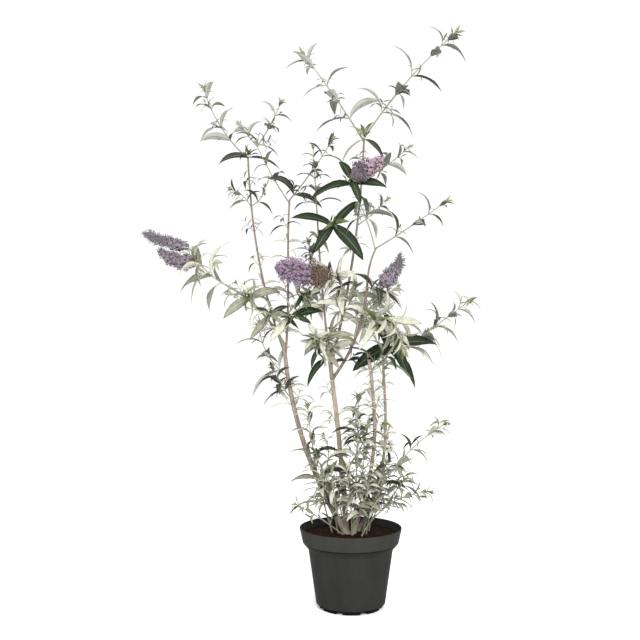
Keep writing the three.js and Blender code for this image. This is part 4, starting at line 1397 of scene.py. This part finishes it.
def floret_shape(droop):
    """An open floret of four lobes on a tube, with its mouth at the origin and its axis along +Z.

    droop is how far the lobes fold back, in degrees. Gives vertices, quads and 1 for the eye.
    """
    vertices, quads = [], []
    lean = math.radians(droop)
    for i in range(4):
        turn = 90 * i + 45
        spoke, flank = direction(turn, 90), direction(turn + 90, 90)
        outward = spoke * math.cos(lean) - np.array([0, 0, 1]) * math.sin(lean)
        for reach, half, lift in ((0.14, 0.1, 0), (0.34, 0.2, 0.03), (0.5, 0.09, 0)):
            for level in (0.015, -0.015):
                centre = outward * reach + np.array([0, 0, lift + level])
                vertices += [centre - flank * half, centre + flank * half]
        # Each reach has the upper pair first and the lower pair after it.
        lobe = []
        for a, b in ((0, 4), (4, 8)):
            lobe += [(a, b, b + 1, a + 1), (a + 3, b + 3, b + 2, a + 2)]
            lobe += [(a + 2, b + 2, b, a), (a + 1, b + 1, b + 3, a + 3)]
        lobe += [(0, 1, 3, 2), (9, 8, 10, 11)]
        quads += [tuple(12 * i + corner for corner in quad) for quad in lobe]
    points = np.array([[0, 0, -1.35], [0, 0, -0.6], [0, 0, -0.02]])
    ways = np.repeat([[0.0, 0, 1]], 3, axis=0)
    tube_vertices, tube_quads = tube(points, ways, (0.07, 0.1, 0.17), 4)
    eye = (tube_quads >= 8).all(axis=1)
    kinds = np.append(np.zeros(len(quads), int), eye.astype(int))
    quads = np.vstack([quads, tube_quads + len(vertices)])
    return np.vstack([vertices, tube_vertices]), quads, kinds


def bud_shape():
    """A closed bud: a slim pointed tube."""
    points = np.array([[0, 0, -1.1], [0, 0, -0.5], [0, 0, 0.05], [0, 0, 0.3]])
    ways = np.repeat([[0.0, 0, 1]], 4, axis=0)
    vertices, quads = tube(points, ways, (0.07, 0.11, 0.16, 0.05), 4)
    return vertices, quads, np.zeros(len(quads), int)


def spike_radius(shoot, share):
    """Half the width of a spike at a share of its length: blunt at its foot, pointed at its tip."""
    spike = shoot["spike"]
    if share < SHOULDER:
        swell = 0.5 + 0.5 * share / SHOULDER
    else:
        swell = 1 - 0.85 * ((share - SHOULDER) / (1 - SHOULDER)) ** spike["blunt"]
    return max(shoot["plan"]["bloom"] / 2 * spike["full"] * swell, 1.5)


def cyme_reach(shoot, distance, angle):
    """How far the bunch at a distance and an angle round the spike stands out, about 1."""
    row = int(distance / CYME["length"])
    column = int((angle % 360) / 360 * CYME["around"] + 0.5 * (row % 2)) % CYME["around"]
    return 1.12 - shoot["spike"]["ragged"] * luck(shoot["seed"] + 6, CYME["around"] * row + column)


def spike_florets(shoot):
    """Place, outward way, spin, size and tint of each floret of a spike, spiralling up it."""
    path, seed, tints = shoot["path"], shoot["seed"], shoot["spike"]["tints"]
    made = []
    distance, n = 2.0, 0
    while distance < path.length:
        share = distance / path.length
        radius = spike_radius(shoot, share)
        distance += FLORET_SPACING**2 / (2 * math.pi * radius)
        jump = 5 * (luck(seed + 8, n) - 0.5)
        point, way = path.smooth(min(max(distance + jump, 0), path.length))
        side = unit(np.cross(way, (0.2, 0.9, 0.3)))
        angle = GOLDEN_TURN * n + 60 * luck(seed, n)
        out = turned(side, way, angle)
        out = unit(out + way * (0.15 + 0.5 * luck(seed + 1, n)))
        reach = cyme_reach(shoot, distance, angle) * (0.84 + 0.18 * luck(seed + 2, n))
        zone = share * (len(tints) - 1) + 0.9 * (luck(seed + 3, n) - 0.5)
        tint = tints[int(min(max(round(zone), 0), len(tints) - 1))]
        size = (0.8 if tint == "faded" else 1) * (0.8 + 0.35 * luck(seed + 4, n)) * (1 - 0.35 * share)
        place = point + out * radius * reach
        made.append(dict(place=place, way=out, spin=360 * luck(seed + 5, n), size=size, tint=tint))
        n += 1
    return made


def spike_core(shoot):
    """The stalks and calyces behind the florets: a lumpy tube, and 1 for its withered faces."""
    path, tints = shoot["path"], shoot["spike"]["tints"]
    sides = 2 * CYME["around"]
    distances = np.arange(1.0, path.length - 1, CYME["length"] / 3)
    centres, ways = (np.array(found) for found in zip(*(path.smooth(d) for d in distances)))
    radii = [0.58 * spike_radius(shoot, distance / path.length) for distance in distances]
    vertices, quads = tube(centres, ways, radii, sides)
    for k, vertex in enumerate(vertices):
        ring, corner = divmod(k, sides)
        lump = cyme_reach(shoot, distances[ring], 360 * corner / sides) + 0.2 * luck(shoot["seed"] + 7, k)
        vertices[k] = centres[ring] + (vertex - centres[ring]) * lump
    share = distances[quads.min(axis=1) // sides] / path.length
    zone = np.round(share * (len(tints) - 1)).astype(int)
    return vertices, quads, np.array([int(tints[z] == "faded") for z in zone])


def stamp(florets, shape, width):
    """Copies of a shape, one for each floret, as arrays."""
    vertices, quads, kinds = shape
    placed = []
    for floret in florets:
        way = floret["way"]
        side = turned(unit(np.cross(way, (0.37, 0.21, 0.9))), way, floret["spin"])
        basis = np.stack([side, np.cross(way, side), way])
        placed.append(floret["place"] + vertices @ basis * floret["size"] * width)
    offsets = (np.arange(len(florets)) * len(vertices))[:, None, None]
    return np.vstack(placed), (quads[None] + offsets).reshape(-1, 4), np.tile(kinds, len(florets))


class BUSH_OT_flowers(bpy.types.Operator):
    """Makes the flower spikes of many small florets, fresh, faded and in bud"""

    bl_idname = "bush.flowers"
    bl_label = "Flowers"

    def execute(self, context):
        settings = context.scene.bush
        eye = surface(settings, "eye")
        spikes = [shoot for shoot in grow_shoots(grow_limbs()) if shoot["spike"]]
        nodes = sorted({"foliage_" + shoot["mass"] for shoot in spikes})
        florets = [floret for shoot in spikes for floret in spike_florets(shoot)]
        fresh, dry, closed = floret_shape(12), floret_shape(58), bud_shape()
        shapes = {"bud": closed, "husk": closed, **dict.fromkeys(THROATS, dry)}
        for tint in FLORET_TINTS:
            chosen = [floret for floret in florets if floret["tint"] == tint]
            vertices, quads, kinds = stamp(chosen, shapes.get(tint, fresh), settings.floret_size / MM)
            throat = surface(settings, "{}_floret", THROATS[tint]) if tint in THROATS else eye
            petals = [surface(settings, "{}_floret", tint), throat]
            mesh_piece(tint + "_florets", "blossom", nodes, vertices, quads, petals, kinds)
        cores = [spike_core(shoot) for shoot in spikes]
        kinds = np.concatenate([core[2] for core in cores])
        calyces = [surface(settings, "{}_floret", tint) for tint in ("calyx", "withered")]
        vertices, quads = joined([core[:2] for core in cores])
        mesh_piece("spike_calyces", "blossom", nodes, vertices, quads, calyces, kinds)
        return {"FINISHED"}


# ---------------------------------------------------------------- stage


class BUSH_OT_stage(bpy.types.Operator):
    """Sets a plain pale floor, soft studio light and the camera"""

    bl_idname = "bush.stage"
    bl_label = "Stage"

    camera_place = (-63, -1830, 570)
    picture_rows = 640
    floor_radius = 9
    air_light = 1.05
    horizon_row = 328.9  # from the top of the picture
    aim = (0, 0, 0.6)
    # Square soft boxes: place and size in metres, and watts.
    lamps = {
        "key light": ((0.45, -2.6, 1.7), 1.2, 110),
        "fill light": ((-2.2, -0.6, 1.8), 2.0, 18),
        "back light": ((0.4, 2.3, 2.4), 2.0, 20),
    }

    def execute(self, context):
        scene = context.scene
        deselect_all()
        bpy.ops.mesh.primitive_circle_add(vertices=96, radius=self.floor_radius, fill_type="NGON")
        floor = context.object
        floor.name = "floor"
        whites = [linear("#fafaf8"), linear("#fcfcfb")]
        paint = mottled("matt pale floor", whites, feature=400, rough=(0.9, 1.0), relief=(5, 0.02))
        floor.data.materials.append(paint)
        floor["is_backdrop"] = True
        for name, (place, size, watts) in self.lamps.items():
            bpy.ops.object.light_add(type="AREA", location=place)
            lamp = context.object
            lamp.name = name
            lamp.data.size = size
            lamp.data.energy = watts
            aim = Vector(self.aim) - Vector(place)
            lamp.rotation_euler = aim.to_track_quat("-Z", "Y").to_euler()
        world = bpy.data.worlds.new("studio air")
        world.use_nodes = True
        air = world.node_tree.nodes["Background"]
        air.inputs["Color"].default_value = (1, 1, 1, 1)
        air.inputs["Strength"].default_value = self.air_light
        scene.world = world
        scene.view_settings.view_transform = "Standard"
        place = [value * MM for value in self.camera_place]
        bpy.ops.object.camera_add(location=place, rotation=(math.pi / 2, 0, 0))
        camera = context.object
        camera.data.lens = 50
        camera.data.sensor_width = 36
        camera.data.shift_y = (self.horizon_row - self.picture_rows / 2) / self.picture_rows
        scene.camera = camera
        return {"FINISHED"}


# ---------------------------------------------------------------- panel and running


OPERATORS = (
    BUSH_OT_pot,
    BUSH_OT_compost,
    BUSH_OT_limbs,
    BUSH_OT_shoots,
    BUSH_OT_leaves,
    BUSH_OT_flowers,
    BUSH_OT_stage,
)


class BUSH_PT_panel(bpy.types.Panel):
    """Lists the settings and a button for each group of pieces"""

    bl_label = "Potted bush"
    bl_space_type = "VIEW_3D"
    bl_region_type = "UI"
    bl_category = "Bush"

    def draw(self, context):
        for name in BushSettings.__annotations__:
            self.layout.prop(context.scene.bush, name)
        for operator in OPERATORS:
            self.layout.operator(operator.bl_idname)


CLASSES = (BushSettings, *OPERATORS, BUSH_PT_panel)


def register():
    for cls in CLASSES:
        bpy.utils.register_class(cls)
    bpy.types.Scene.bush = bpy.props.PointerProperty(type=BushSettings)


def unregister():
    del bpy.types.Scene.bush
    for cls in reversed(CLASSES):
        bpy.utils.unregister_class(cls)


def main():
    register()
    bpy.ops.bush.pot()
    bpy.ops.bush.compost()
    bpy.ops.bush.limbs()
    bpy.ops.bush.shoots()
    bpy.ops.bush.leaves()
    bpy.ops.bush.flowers()
    bpy.ops.bush.stage()
    sizes = {"cad": [list(c) for c in CAD_BOX], "visual": [list(c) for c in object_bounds()]}


if __name__ == "__main__":
    main()
